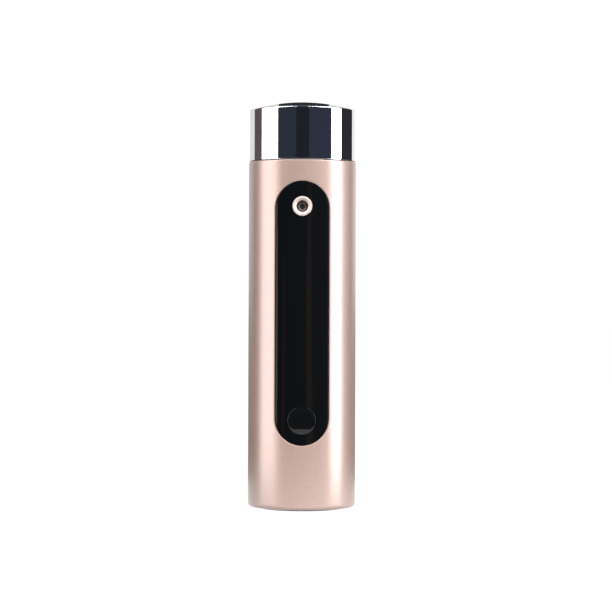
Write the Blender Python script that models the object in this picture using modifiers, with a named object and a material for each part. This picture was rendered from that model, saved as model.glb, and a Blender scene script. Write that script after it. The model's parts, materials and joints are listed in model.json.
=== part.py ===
"""Cylindrical skin scrubber with a fine-mist nozzle, a pull-off chrome cap and a rechargeable cell.

Frame: +Z runs up the handle, the origin is the middle of the foot's underside, and the front
panel faces -Y. Sizes are written in millimetres times MM, so that the scene holds metres.
"""

import math

import bmesh
import bpy
from mathutils import Matrix, Vector

MM = 0.001

# Driving sizes of the outside.
BODY_RADIUS = 18.0 * MM
BODY_TOP = 116.0 * MM
SLEEVE_WALL = 1.2 * MM
SLEEVE_EDGE_RADIUS = 2.6 * MM
SLEEVE_LIP = 0.8 * MM
FOOT_PROUD = 0.5 * MM
FOOT_THICKNESS = 0.9 * MM
FOOT_INSET = 6.0 * MM
FOOT_MOUTH_WIDTH = 13.0 * MM
FOOT_MOUTH_DEPTH = 7.0 * MM
BASE_FLANGE_INSET = 3.7 * MM
BASE_HUB_INSET = 5.4 * MM
CAP_HEIGHT = 19.8 * MM
CAP_STEP = 0.25 * MM
CAP_CROWN = 2.7 * MM
CAP_WALL = 1.0 * MM
CAP_EDGE_RADIUS = 0.6 * MM
LINER_WALL = 0.8 * MM
FIT = 0.3 * MM

# Sides of the round shapes, from the sleeve down to the screws.
BODY_SIDES = 36
SMALL_SIDES = 16
SCREW_SIDES = 10

# Window and front panel. The margins are from the sleeve's two ends.
WINDOW_WIDTH = 17.9 * MM
WINDOW_LOW = 21.8 * MM
WINDOW_MARGIN = 7.05 * MM
WINDOW_GAP = 0.2 * MM
PANEL_SINK = 0.25 * MM
PANEL_FLANGE = 1.1 * MM
PANEL_FLANGE_WALL = 0.9 * MM
PANEL_DEPTH = 2.65 * MM

# Mist nozzle, set in from the panel's upper end, and the stack of discs behind it.
NOZZLE_INSET = 8.3 * MM
NOZZLE_RADIUS = 3.25 * MM
NOZZLE_RIM = 0.7 * MM
FACE_SINK = 0.02 * MM
NOZZLE_TUBE_WALL = 0.75 * MM
NOZZLE_SINK = 0.8 * MM
MIST_STACK_RADIUS = 4.6 * MM
MIST_STACK_DEPTH = 2.8 * MM
MIST_BORE = 2.5 * MM
SEAL_THICKNESS = 0.8 * MM
MESH_THICKNESS = 0.2 * MM
MESH_DOME = 0.25 * MM
CERAMIC_THICKNESS = 0.7 * MM

# Power button, set in from the panel's lower end.
BUTTON_INSET = 8.25 * MM
BUTTON_RADIUS = 4.65 * MM
BUTTON_FLANGE = 0.85 * MM
BUTTON_FLANGE_WALL = 0.7 * MM
BUTTON_GAP = 0.2 * MM
BUTTON_DOME = 0.35 * MM
BUTTON_TRAVEL = 0.6 * MM
PLUNGER_RADIUS = 1.6 * MM
SWITCH_SIZE = 6.0 * MM
SWITCH_HEIGHT = 3.2 * MM
SWITCH_WELL = 1.8 * MM

# Inner frame: two half shells that hold the board, the cell and the tank.
FRAME_WALL = 1.2 * MM
FRAME_LOW = 3.2 * MM
FRAME_FLOOR = 1.6 * MM
SPLIT_GAP = 0.3 * MM
JOIN_BOSS_RADIUS = 2.1 * MM
JOIN_BOSS_REACH = 6.6 * MM
JOIN_SCREW_LOW = 13.0 * MM
JOIN_SCREW_INSET = 2.3 * MM
JOIN_WEB_HALF_HEIGHT = 1.5 * MM
JOIN_WEB_REACH = 4.0 * MM
BASE_BOSS_RADIUS = 2.3 * MM
BOARD_POST_RADIUS = 1.8 * MM
LIGHT_HOLE_RADIUS = 1.2 * MM
CELL_RIB_HEIGHTS = (24.0 * MM, 52.0 * MM)
CELL_RIB_REACH = 11.0 * MM
CELL_RIB_THICKNESS = 1.6 * MM

# Screws, as the radii of their shanks and heads and the heads' heights.
BASE_SCREW = (1.0 * MM, 1.9 * MM, 0.5 * MM)
FRAME_SCREW = (0.8 * MM, 1.6 * MM, 1.0 * MM)
BOARD_SCREW = (0.7 * MM, 1.5 * MM, 0.9 * MM)
CLAMP_SCREW = (0.8 * MM, 1.6 * MM, 1.0 * MM)
BASE_SCREW_PLACES = (
    ("left", -8.5 * MM, 5.0 * MM),
    ("right", 8.5 * MM, 5.0 * MM),
    ("front", 0.0, -9.5 * MM),
)

# Collar under the cap, with the blade and the filler. Heights count from the sleeve's top.
COLLAR_DEPTH = 4.7 * MM
COLLAR_DECK = 2.0 * MM
SPIGOT_HEIGHT = 3.2 * MM
GRIP_RING_ROUND = 0.5 * MM
GRIP_RING_INSET = 0.4 * MM
BLADE_Y = 3.6 * MM
BLADE_THICKNESS = 0.8 * MM
BLADE_WIDTH = 22.5 * MM
BLADE_ABOVE = 14.8 * MM
BLADE_BELOW = 28.8 * MM
BLADE_BEND_ABOVE = 7.2 * MM
BLADE_BEND_RADIUS = 5.0 * MM
BLADE_BEND_ANGLE = math.radians(25.0)
BLADE_CORNER = 2.5 * MM
BLADE_ROOT_INSET = 1.75 * MM
BOOT_WALL = 0.9 * MM
BOOT_MARGIN = 0.85 * MM
CLAMP_BELOW = 5.2 * MM
CLAMP_HALF_HEIGHT = 2.2 * MM
CLAMP_THICKNESS = 1.8 * MM
CLAMP_SCREW_INSET = 2.75 * MM
POST_HALF_WIDTH = 2.5 * MM
POST_DEPTH = 2.5 * MM
DRIVE_DISC_RADIUS = 8.5 * MM
DRIVE_DISC_THICKNESS = 1.5 * MM
DRIVE_DISC_MARGIN = 1.5 * MM
FILLER_Y = -6.5 * MM
FILLER_BORE = 3.0 * MM
FILLER_WALL = 0.9 * MM
PLUG_HEAD = 1.2 * MM
PLUG_STEM = 3.7 * MM
PLUG_OVERHANG = 0.7 * MM

# Water tank. Its front is flat, this far behind the sleeve's front.
TANK_HEIGHT = 19.0 * MM
TANK_WALL = 1.2 * MM
TANK_SETBACK = 7.4 * MM

# Electrical parts.
CELL_RADIUS = 7.1 * MM
CELL_LOW = 13.5 * MM
CELL_HEIGHT = 50.0 * MM
CELL_Y = 5.5 * MM
CELL_CAP_RADIUS = 2.7 * MM
CELL_SHOULDER = 1.0 * MM
STRIP_THICKNESS = 0.3 * MM
BOARD_THICKNESS = 1.0 * MM
BOARD_HALF_WIDTH = 9.2 * MM
BOARD_LOW = 18.0 * MM
BOARD_BELOW_TANK = 7.5 * MM
BOARD_FRONT = 9.5 * MM
BOARD_SCREW_X = 7.0 * MM
BOARD_SCREW_INSET = 3.75 * MM
LIGHT_Z = 40.0 * MM
JOIN_SCREW_BELOW = 8.0 * MM
TRANSFORMER_BELOW = 9.0 * MM
INDUCTOR_PLACE = (-5.2 * MM, 56.0 * MM)
CAPACITOR_PLACES = ((6.0 * MM, 53.0 * MM), (6.0 * MM, 59.5 * MM))
CHIP_Z = 40.0 * MM
SOCKET_WIDTH = 8.94 * MM
SOCKET_DEPTH = 3.26 * MM
SOCKET_WALL = 0.35 * MM
SOCKET_LOW = 1.5 * MM
SOCKET_HIGH = 8.9 * MM
CHARGING_BOARD_RADIUS = 12.2 * MM
CHARGING_BOARD_HALF_WIDTH = 9.0 * MM
THICK_LEAD = 0.55 * MM
THIN_LEAD = 0.4 * MM
BLADE_LEAD_BELOW = 1.8 * MM
MIST_LEAD_BELOW = 9.3 * MM

# Radii that follow from those above, from the sleeve inwards.
BORE_RADIUS = BODY_RADIUS - SLEEVE_WALL
PANEL_RADIUS = BODY_RADIUS - PANEL_SINK
FLANGE_RADIUS = BORE_RADIUS - FIT
FLANGE_INNER = FLANGE_RADIUS - PANEL_FLANGE_WALL
REAR_FRAME_RADIUS = BORE_RADIUS - FIT
REAR_FRAME_INNER = REAR_FRAME_RADIUS - FRAME_WALL
FRONT_FRAME_RADIUS = FLANGE_INNER - FIT
FRONT_FRAME_INNER = FRONT_FRAME_RADIUS - FRAME_WALL
TANK_RADIUS = FRONT_FRAME_INNER - FIT
CAP_RADIUS = BODY_RADIUS - CAP_STEP
LINER_OUTER = CAP_RADIUS - CAP_WALL - FIT
LINER_INNER = LINER_OUTER - LINER_WALL
SPIGOT_RADIUS = LINER_INNER - FIT
GRIP_RING_MIDDLE = SPIGOT_RADIUS - GRIP_RING_INSET
BASE_FLANGE_RADIUS = BODY_RADIUS - BASE_FLANGE_INSET
BASE_HUB_RADIUS = BODY_RADIUS - BASE_HUB_INSET
FOOT_RADIUS = BODY_RADIUS - FOOT_INSET
NOZZLE_TUBE_RADIUS = NOZZLE_RADIUS - NOZZLE_RIM
NOZZLE_HOLE_RADIUS = NOZZLE_TUBE_RADIUS - NOZZLE_TUBE_WALL
BUTTON_FLANGE_RADIUS = BUTTON_RADIUS + BUTTON_FLANGE

# Heights that follow.
WINDOW_HIGH = BODY_TOP - WINDOW_MARGIN
NOZZLE_Z = WINDOW_HIGH - NOZZLE_INSET
BUTTON_Z = WINDOW_LOW + BUTTON_INSET
FRAME_HIGH = BODY_TOP - COLLAR_DEPTH - FIT
TANK_TOP = FRAME_HIGH - FIT
TANK_FLOOR_Z = TANK_TOP - TANK_HEIGHT
LID_LOW = TANK_TOP + FIT
LID_HIGH = LID_LOW + TANK_WALL
DECK_Z = BODY_TOP + SPIGOT_HEIGHT
DECK_LOW = DECK_Z - COLLAR_DECK
CAP_RIM = BODY_TOP + FIT
CAP_TOP = CAP_RIM + CAP_HEIGHT
BLADE_TIP = BODY_TOP + BLADE_ABOVE
BLADE_ROOT = BODY_TOP - BLADE_BELOW
BLADE_BEND_Z = BODY_TOP + BLADE_BEND_ABOVE
CLAMP_Z = BODY_TOP - CLAMP_BELOW
BOARD_HIGH = TANK_FLOOR_Z - BOARD_BELOW_TANK
JOIN_SCREW_HIGH = BOARD_HIGH - JOIN_SCREW_BELOW
TRANSFORMER_Z = BOARD_HIGH - TRANSFORMER_BELOW
CELL_TOP = CELL_LOW + CELL_HEIGHT
BASE_RECESS_Z = FOOT_THICKNESS + FIT

# Distances forwards from the axis, and backwards for the blade's rear face.
PANEL_POCKET = BODY_RADIUS - PANEL_DEPTH
NOZZLE_SEAT = BODY_RADIUS - NOZZLE_SINK
SEAL_FRONT = BODY_RADIUS - MIST_STACK_DEPTH
MESH_FRONT = SEAL_FRONT - SEAL_THICKNESS - FIT
CERAMIC_FRONT = MESH_FRONT - MESH_THICKNESS - FIT
SEAL_REAR_FRONT = CERAMIC_FRONT - CERAMIC_THICKNESS - FIT
TANK_FRONT = BODY_RADIUS - TANK_SETBACK
BOARD_REAR = BOARD_FRONT - BOARD_THICKNESS
SWITCH_FRONT = BOARD_FRONT + FIT + SWITCH_HEIGHT
JOIN_SCREW_X = FRONT_FRAME_INNER - JOIN_SCREW_INSET
CLAMP_SCREW_X = BLADE_WIDTH / 2 - CLAMP_SCREW_INSET
BLADE_REAR = BLADE_Y + BLADE_THICKNESS / 2 + FIT
BOOT_WIDTH = BLADE_WIDTH + 2 * (FIT + BOOT_MARGIN)
BOOT_DEPTH = BLADE_THICKNESS + 2 * BOOT_WALL
BOARD_SCREW_PLACES = (
    ("low", -BOARD_SCREW_X, BOARD_LOW + BOARD_SCREW_INSET),
    ("high", BOARD_SCREW_X, BOARD_HIGH - BOARD_SCREW_INSET),
)

# Solids run past each other by this much where a cut or a join needs it.
OVERLAP = 1.0 * MM
FRONT_TURN = (math.pi / 2, 0.0, 0.0)
REAR_TURN = (-math.pi / 2, 0.0, 0.0)


def clear_scene():
    """Removes every object, so that the script can be run again."""
    for item in list(bpy.data.objects):
        bpy.data.objects.remove(item)


def new_collection(name):
    """A collection linked to the scene."""
    made = bpy.data.collections.new(name)
    bpy.context.scene.collection.children.link(made)
    return made


clear_scene()
PARTS = new_collection("skin_scrubber")
CUTTERS = new_collection("cutters")
CUTTERS.hide_render = True


def finish(name, colour, roughness, metallic=0.0):
    """A Principled material with one colour, roughness and metallic value."""
    material = bpy.data.materials.new(name)
    material.use_nodes = True
    shader = material.node_tree.nodes["Principled BSDF"]
    shader.inputs["Base Color"].default_value = (*colour, 1.0)
    shader.inputs["Roughness"].default_value = roughness
    shader.inputs["Metallic"].default_value = metallic
    return material


ROSE_GOLD = finish("rose_gold_satin", (0.78, 0.58, 0.50), 0.35, 0.85)
CHROME = finish("chrome_plate", (0.80, 0.81, 0.83), 0.04, 1.0)
PANEL_BLACK = finish("panel_black_gloss", (0.008, 0.009, 0.011), 0.06)
BUTTON_BLACK = finish("button_black_gloss", (0.010, 0.010, 0.012), 0.08)
RING_GOLD = finish("ring_rose_gold", (0.90, 0.72, 0.66), 0.15, 1.0)
STEEL = finish("stainless_steel", (0.70, 0.70, 0.69), 0.18, 1.0)
SCREW_STEEL = finish("zinc_steel", (0.60, 0.60, 0.62), 0.35, 1.0)
LINER_WHITE = finish("liner_white", (0.82, 0.82, 0.80), 0.45)
COLLAR_WHITE = finish("collar_white", (0.80, 0.78, 0.76), 0.40)
FRAME_GREY = finish("frame_grey", (0.30, 0.31, 0.33), 0.55)
SILICONE = finish("silicone_grey", (0.45, 0.44, 0.44), 0.60)
FOOT_RUBBER = finish("foot_rubber", (0.06, 0.035, 0.03), 0.75)
TANK_CLEAR = finish("tank_clear", (0.75, 0.80, 0.84), 0.10)
CERAMIC = finish("piezo_ceramic", (0.72, 0.66, 0.52), 0.50)
CELL_WRAP = finish("cell_wrap", (0.03, 0.16, 0.34), 0.35)
NICKEL = finish("nickel_strip", (0.66, 0.65, 0.62), 0.30, 1.0)
BOARD_GREEN = finish("board_green", (0.02, 0.16, 0.07), 0.40)
CHIP_BLACK = finish("chip_black", (0.02, 0.02, 0.02), 0.55)
FERRITE = finish("ferrite_grey", (0.07, 0.07, 0.075), 0.60)
COPPER = finish("copper_winding", (0.62, 0.28, 0.14), 0.35, 0.9)
LED_WHITE = finish("led_white", (0.85, 0.85, 0.78), 0.30)
WIRE_RED = finish("wire_red", (0.55, 0.03, 0.02), 0.45)
WIRE_BLACK = finish("wire_black", (0.02, 0.02, 0.02), 0.45)
WIRE_WHITE = finish("wire_white", (0.75, 0.75, 0.72), 0.45)


def new_object(name, mesh, material=None):
    """An object in the parts collection, with its material."""
    made = bpy.data.objects.new(name, mesh)
    PARTS.objects.link(made)
    if material:
        mesh.materials.append(material)
    return made


def smoothed(part, angle=35.0):
    """Shades a part smooth, with an edge kept wherever its faces turn sharply."""
    part.data.shade_smooth()
    part.data.set_sharp_from_angle(angle=math.radians(angle))
    return part


def move_mesh(part, matrix):
    """Places a part by its mesh's own points, which leaves the object unscaled."""
    part.data.transform(matrix)
    return part


def box(name, low, high, material=None, bevel=0.0):
    """A box between two corners, with its edges rounded if a bevel is given."""
    shape = bmesh.new()
    bmesh.ops.create_cube(shape, size=1.0)
    mesh = bpy.data.meshes.new(name)
    shape.to_mesh(mesh)
    shape.free()
    made = new_object(name, mesh, material)
    size = [high[k] - low[k] for k in range(3)]
    move_mesh(made, Matrix.Diagonal((*size, 1.0)))
    made.location = [(high[k] + low[k]) / 2 for k in range(3)]
    if bevel:
        rounded = made.modifiers.new("Rounded edges", "BEVEL")
        rounded.width = bevel
        rounded.segments = 2
    return made


def cylinder(name, radius, start, end, material=None, sides=SMALL_SIDES):
    """A cylinder from one point to another."""
    shape = bmesh.new()
    axis = Vector(end) - Vector(start)
    bmesh.ops.create_cone(
        shape, cap_ends=True, segments=sides, radius1=radius, radius2=radius, depth=axis.length
    )
    mesh = bpy.data.meshes.new(name)
    shape.to_mesh(mesh)
    shape.free()
    made = new_object(name, mesh, material)
    made.location = (Vector(start) + Vector(end)) / 2
    made.rotation_mode = "QUATERNION"
    made.rotation_quaternion = axis.to_track_quat("Z", "Y")
    return smoothed(made)


def turned(name, profile, material=None, sides=BODY_SIDES, ring=False):
    """A turned solid. The profile's points are (radius, height), running down the outer side;
    a ring's last point joins its first, and any other profile starts and ends on the axis."""
    mesh = bpy.data.meshes.new(name)
    points = [(radius, 0.0, height) for radius, height in profile]
    edges = [(k, k + 1) for k in range(len(points) - 1)]
    if ring:
        edges.append((len(points) - 1, 0))
    mesh.from_pydata(points, edges, [])
    made = new_object(name, mesh, material)
    screw = made.modifiers.new("Turn", "SCREW")
    screw.steps = sides
    screw.render_steps = sides
    screw.use_merge_vertices = True
    screw.merge_threshold = 0.01 * MM
    return made


def ring(name, outer, inner, low, high, material=None, sides=BODY_SIDES):
    """A plain turned ring between two heights."""
    profile = [(outer, high), (outer, low), (inner, low), (inner, high)]
    return turned(name, profile, material, sides, ring=True)


def facing_front(part, height, x=0.0):
    """Turns a part so that its own +Z points out of the front, at the given height."""
    part.rotation_euler = FRONT_TURN
    part.location = (x, 0.0, height)
    return part


def plate(name, outline, low, high, material=None, front=False):
    """A flat outline made solid. It lies level between two heights, or, facing the front, its
    outline is (x, z) and low and high count forwards from the axis."""
    curve = bpy.data.curves.new(name + "_outline", "CURVE")
    curve.dimensions = "2D"
    curve.fill_mode = "BOTH"
    curve.extrude = (high - low) / 2
    line = curve.splines.new("POLY")
    line.points.add(len(outline) - 1)
    for point, (u, v) in zip(line.points, outline):
        point.co = (u, v, 0.0, 1.0)
    line.use_cyclic_u = True
    drawn = bpy.data.objects.new(name + "_outline", curve)
    PARTS.objects.link(drawn)
    bpy.context.view_layer.update()
    graph = bpy.context.evaluated_depsgraph_get()
    mesh = bpy.data.meshes.new_from_object(drawn.evaluated_get(graph))
    bpy.data.objects.remove(drawn)
    weld(mesh)
    mesh.materials.clear()
    made = new_object(name, mesh, material)
    move_mesh(made, Matrix.Translation((0.0, 0.0, (low + high) / 2)))
    if front:
        move_mesh(made, Matrix.Rotation(math.pi / 2, 4, "X"))
    return made


def weld(mesh):
    """Joins a mesh's doubled points, such as those where a curve's caps meet its side."""
    shape = bmesh.new()
    shape.from_mesh(mesh)
    bmesh.ops.remove_doubles(shape, verts=shape.verts, dist=0.001 * MM)
    shape.to_mesh(mesh)
    shape.free()


def arc(centre, radius, start, end, steps):
    """Points along an arc, both ends included, with its angles in degrees."""
    points = []
    for k in range(steps + 1):
        angle = math.radians(start + (end - start) * k / steps)
        points.append((centre[0] + radius * math.cos(angle), centre[1] + radius * math.sin(angle)))
    return points


def tall_pill(width, low, high, steps=10):
    """The outline of an upright slot with round ends, between two heights."""
    radius = width / 2
    top = arc((0.0, high - radius), radius, 0, 180, steps)
    bottom = arc((0.0, low + radius), radius, 180, 360, steps)
    return top + bottom


def wide_pill(width, depth, centre_y=0.0, steps=4):
    """The outline of a level slot with round ends."""
    radius = depth / 2
    reach = width / 2 - radius
    right = arc((reach, centre_y), radius, -90, 90, steps)
    left = arc((-reach, centre_y), radius, 90, 270, steps)
    return right + left


def boolean(part, other, operation):
    """Adds a Boolean to a part and puts the other solid away with the cutters."""
    step = part.modifiers.new(other.name, "BOOLEAN")
    step.operation = operation
    step.object = other
    step.solver = "EXACT"
    if other.name in PARTS.objects:
        PARTS.objects.unlink(other)
        CUTTERS.objects.link(other)
    other.hide_render = True
    other.display_type = "WIRE"


def cut(part, *cutters):
    """Takes the cutters' shapes out of a part."""
    for cutter in cutters:
        boolean(part, cutter, "DIFFERENCE")
    return part


def join(part, *others):
    """Makes a part and the other shapes one body."""
    for other in others:
        boolean(part, other, "UNION")
    return part


def keep_inside(part, other):
    """Keeps only what a part and the other shape share."""
    boolean(part, other, "INTERSECT")
    return part


def wire(name, route, height, radius, material):
    """A lead along a smooth curve through a route's points, in millimetres above a height."""
    points = [Vector(point) * MM + Vector((0.0, 0.0, height)) for point in route]
    padded = [2 * points[0] - points[1], *points, 2 * points[-1] - points[-2]]
    smooth = []
    steps = 2
    for k in range(1, len(padded) - 2):
        before, start, end, after = padded[k - 1 : k + 3]
        for j in range(steps):
            t = j / steps
            smooth.append(
                0.5
                * (
                    2 * start
                    + (end - before) * t
                    + (2 * before - 5 * start + 4 * end - after) * t**2
                    + (3 * start - before - 3 * end + after) * t**3
                )
            )
    smooth.append(points[-1])
    curve = bpy.data.curves.new(name, "CURVE")
    curve.dimensions = "3D"
    curve.bevel_depth = radius
    curve.bevel_resolution = 2
    curve.use_fill_caps = True
    line = curve.splines.new("POLY")
    line.points.add(len(smooth) - 1)
    for point, place in zip(line.points, smooth):
        point.co = (*place, 1.0)
    curve.materials.append(material)
    made = bpy.data.objects.new(name, curve)
    PARTS.objects.link(made)
    return made


def screw_part(name, tip, head, size):
    """A pan-head screw with a cross recess. Its shank runs from the head's underside to the tip."""
    shank_radius, head_radius, head_height = size
    along = Vector(head) - Vector(tip)
    length = along.length
    profile = [
        (0.0, length + head_height),
        (head_radius * 0.7, length + head_height),
        (head_radius, length + head_height * 0.6),
        (head_radius, length),
        (shank_radius, length),
        (shank_radius, shank_radius),
        (0.0, 0.0),
    ]
    made = turned(name, profile, SCREW_STEEL, SCREW_SIDES)
    made.location = tip
    made.rotation_mode = "QUATERNION"
    made.rotation_quaternion = along.to_track_quat("Z", "Y")
    arm = head_radius * 0.55
    slot = head_radius * 0.16
    top = length + head_height + OVERLAP
    floor = length + head_height * 0.45
    for number, (wide, deep) in enumerate(((arm, slot), (slot, arm))):
        recess = box(f"cut_{name}_{number}", (-wide, -deep, floor), (wide, deep, top))
        move_mesh(recess, Matrix.Translation(recess.location))
        recess.location = tip
        recess.rotation_mode = "QUATERNION"
        recess.rotation_quaternion = made.rotation_quaternion
        cut(made, recess)
    return made


def crown_heights(radius, top, steps=3):
    """Points of the cap's shallow dome from its middle out to a radius."""
    points = []
    for k in range(steps + 1):
        r = radius * k / steps
        points.append((r, top - CAP_CROWN * (r / CAP_RADIUS) ** 2))
    return points


def build_sleeve():
    """The painted metal sleeve, with its rolled bottom lip, base recess and panel window."""
    low = FOOT_PROUD
    lip_low = low + SLEEVE_LIP
    lip_high = lip_low + SLEEVE_LIP
    chamfer = SLEEVE_WALL / 5
    edge = arc(
        (BODY_RADIUS - SLEEVE_EDGE_RADIUS, low + SLEEVE_EDGE_RADIUS), SLEEVE_EDGE_RADIUS, 0, -90, 5
    )
    profile = [(BODY_RADIUS - chamfer, BODY_TOP), (BODY_RADIUS, BODY_TOP - chamfer)]
    profile += edge
    profile += [
        (BASE_FLANGE_RADIUS + FIT, low),
        (BASE_FLANGE_RADIUS + FIT, lip_low),
        (BASE_HUB_RADIUS + FIT, lip_low),
        (BASE_HUB_RADIUS + FIT, lip_high),
        (BORE_RADIUS, lip_high),
        (BORE_RADIUS, BODY_TOP),
    ]
    sleeve = turned("body_sleeve", profile, ROSE_GOLD, ring=True)
    outline = tall_pill(WINDOW_WIDTH, WINDOW_LOW, WINDOW_HIGH)
    window = plate("cut_window", outline, BODY_RADIUS / 2, BODY_RADIUS + OVERLAP, front=True)
    cut(sleeve, window)


def build_base():
    """The base plate in the sleeve's lip, its three screws and the foot pad that hides them."""
    flange_top = FOOT_PROUD + SLEEVE_LIP - FIT
    profile = [
        (0.0, FRAME_LOW - FIT),
        (BASE_HUB_RADIUS, FRAME_LOW - FIT),
        (BASE_HUB_RADIUS, flange_top),
        (BASE_FLANGE_RADIUS, flange_top),
        (BASE_FLANGE_RADIUS, FOOT_PROUD),
        (FOOT_RADIUS + FIT, FOOT_PROUD),
        (FOOT_RADIUS + FIT, BASE_RECESS_Z),
        (0.0, BASE_RECESS_Z),
    ]
    base = turned("base_plate", profile, FRAME_GREY)
    mouth = wide_pill(SOCKET_WIDTH + 2 * FIT, SOCKET_DEPTH + 2 * FIT)
    cut(base, plate("cut_base_mouth", mouth, 0.0, FRAME_LOW))
    shank, head, head_height = BASE_SCREW
    seat = BASE_RECESS_Z + head_height + 2 * FIT
    for side, x, y in BASE_SCREW_PLACES:
        hole = upright(f"cut_base_hole_{side}", shank + FIT, x, y, 0.0, FRAME_LOW)
        sink = upright(f"cut_base_sink_{side}", head + FIT, x, y, 0.0, seat)
        cut(base, hole, sink)
        screw_part(f"base_screw_{side}", (x, y, SOCKET_HIGH - OVERLAP), (x, y, seat - FIT), BASE_SCREW)
    edge = FOOT_THICKNESS / 4
    pad_profile = [
        (0.0, FOOT_THICKNESS),
        (FOOT_RADIUS, FOOT_THICKNESS),
        (FOOT_RADIUS, edge),
        (FOOT_RADIUS - edge, 0.0),
        (0.0, 0.0),
    ]
    pad = turned("foot_pad", pad_profile, FOOT_RUBBER)
    plug_room = wide_pill(FOOT_MOUTH_WIDTH, FOOT_MOUTH_DEPTH)
    cut(pad, plate("cut_foot_mouth", plug_room, -OVERLAP, FOOT_THICKNESS + OVERLAP))


def upright(name, radius, x, y, low, high):
    """An upright cylinder for a screw's hole or boss."""
    return cylinder(name, radius, (x, y, low), (x, y, high), sides=SCREW_SIDES)


def forwards(name, radius, near, far, height, x=0.0, sides=SMALL_SIDES, material=None):
    """A cylinder that points forwards, between two distances from the axis."""
    return cylinder(name, radius, (x, -near, height), (x, -far, height), material, sides)


def curved_pill(name, outer, inner, grow, material=None):
    """A piece of a tube's wall with an upright slot's outline, grown past the panel's edge."""
    low, high = WINDOW_LOW - grow, WINDOW_HIGH + grow
    wall = ring(name, outer, inner, low - OVERLAP, high + OVERLAP, material)
    outline = tall_pill(WINDOW_WIDTH + 2 * grow, low, high)
    reach = plate(f"keep_{name}", outline, BODY_RADIUS / 2, BODY_RADIUS + OVERLAP, front=True)
    return keep_inside(wall, reach)


def build_front_panel():
    """The black curved panel, its hidden flange, and the holes for the nozzle and the button."""
    panel = curved_pill("front_panel", PANEL_RADIUS, FLANGE_RADIUS - FIT, -WINDOW_GAP, PANEL_BLACK)
    flange = curved_pill("panel_flange", FLANGE_RADIUS, FLANGE_INNER, PANEL_FLANGE)
    join(panel, flange)
    front = BODY_RADIUS + OVERLAP
    inside = BODY_RADIUS / 2
    pocket = BUTTON_FLANGE_RADIUS + 2 * FIT
    stack = MIST_STACK_RADIUS + FIT
    cut(
        panel,
        forwards("cut_button_hole", BUTTON_RADIUS + BUTTON_GAP, inside, front, BUTTON_Z),
        forwards("cut_button_pocket", pocket, inside, PANEL_POCKET, BUTTON_Z),
        forwards("cut_nozzle_hole", NOZZLE_TUBE_RADIUS + FIT, inside, front, NOZZLE_Z),
        forwards("cut_nozzle_seat", NOZZLE_RADIUS + WINDOW_GAP, NOZZLE_SEAT, front, NOZZLE_Z),
        forwards("cut_seal_pocket", stack, inside, SEAL_FRONT + FIT, NOZZLE_Z),
    )


def build_nozzle():
    """The metal nozzle ring and, behind it, the mist mesh with its ceramic between two seals."""
    front = BODY_RADIUS - FACE_SINK
    edge = 0.2 * MM
    step = NOZZLE_SEAT + FIT
    rear = SEAL_FRONT + FIT
    rim = [
        (NOZZLE_RADIUS - edge, front),
        (NOZZLE_RADIUS, front - edge),
        (NOZZLE_RADIUS, step),
        (NOZZLE_TUBE_RADIUS, step),
        (NOZZLE_TUBE_RADIUS, rear),
        (NOZZLE_HOLE_RADIUS, rear),
        (NOZZLE_HOLE_RADIUS, front - NOZZLE_TUBE_WALL),
        (NOZZLE_TUBE_RADIUS, front - edge),
        (NOZZLE_TUBE_RADIUS + edge, front),
    ]
    facing_front(turned("nozzle_ring", rim, RING_GOLD, SMALL_SIDES, ring=True), NOZZLE_Z)
    spot = NOZZLE_HOLE_RADIUS
    mesh_back = MESH_FRONT - MESH_THICKNESS
    dish = [
        (0.0, MESH_FRONT + MESH_DOME),
        (spot, MESH_FRONT),
        (MIST_STACK_RADIUS, MESH_FRONT),
        (MIST_STACK_RADIUS, mesh_back),
        (spot, mesh_back),
        (0.0, mesh_back + MESH_DOME),
    ]
    facing_front(turned("mist_mesh", dish, STEEL, SMALL_SIDES), NOZZLE_Z)
    rings = (
        ("nozzle_seal_front", SEAL_FRONT, SEAL_THICKNESS, SILICONE),
        ("mist_ceramic_ring", CERAMIC_FRONT, CERAMIC_THICKNESS, CERAMIC),
        ("nozzle_seal_rear", SEAL_REAR_FRONT, SEAL_THICKNESS, SILICONE),
    )
    for name, face, thickness, material in rings:
        made = ring(name, MIST_STACK_RADIUS, MIST_BORE, face - thickness, face, material, SMALL_SIDES)
        facing_front(made, NOZZLE_Z)


def tank_outline(grow=0.0):
    """The tank seen from above: round at the sides, flat in front and flat behind."""
    radius = TANK_RADIUS + grow
    front = TANK_FRONT + grow
    edge = math.degrees(math.asin(front / radius))
    back = math.degrees(math.asin(grow / radius))
    left = arc((0.0, 0.0), radius, 180 - back, 180 + edge, 5)
    right = arc((0.0, 0.0), radius, -edge, back, 5)
    return left + right


def build_tank():
    """The clear water tank, its mist outlet, its lid and the filler neck on the lid."""
    tank = plate("water_tank", tank_outline(), TANK_FLOOR_Z, TANK_TOP, TANK_CLEAR)
    inside = tank_outline(-TANK_WALL)
    hollow = plate("cut_tank_hollow", inside, TANK_FLOOR_Z + TANK_WALL, TANK_TOP + OVERLAP)
    spout_end = SEAL_REAR_FRONT - SEAL_THICKNESS - FIT
    spout_root = TANK_FRONT - TANK_WALL / 2
    join(tank, forwards("join_tank_spout", MIST_STACK_RADIUS, spout_root, spout_end, NOZZLE_Z))
    outlet = forwards("cut_tank_outlet", MIST_BORE, BODY_RADIUS / 3, BODY_RADIUS, NOZZLE_Z)
    cut(tank, hollow, outlet)
    lid = plate("tank_lid", tank_outline(), LID_LOW, LID_HIGH, TANK_CLEAR)
    neck_base = (0.0, FILLER_Y, LID_LOW + TANK_WALL / 2)
    neck = cylinder("join_neck", FILLER_BORE + FILLER_WALL, neck_base, (0.0, FILLER_Y, DECK_Z - FIT))
    bore_base = (0.0, FILLER_Y, LID_LOW - OVERLAP)
    bore = cylinder("cut_filler_bore", FILLER_BORE, bore_base, (0.0, FILLER_Y, DECK_Z))
    join(lid, neck)
    cut(lid, bore)


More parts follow.
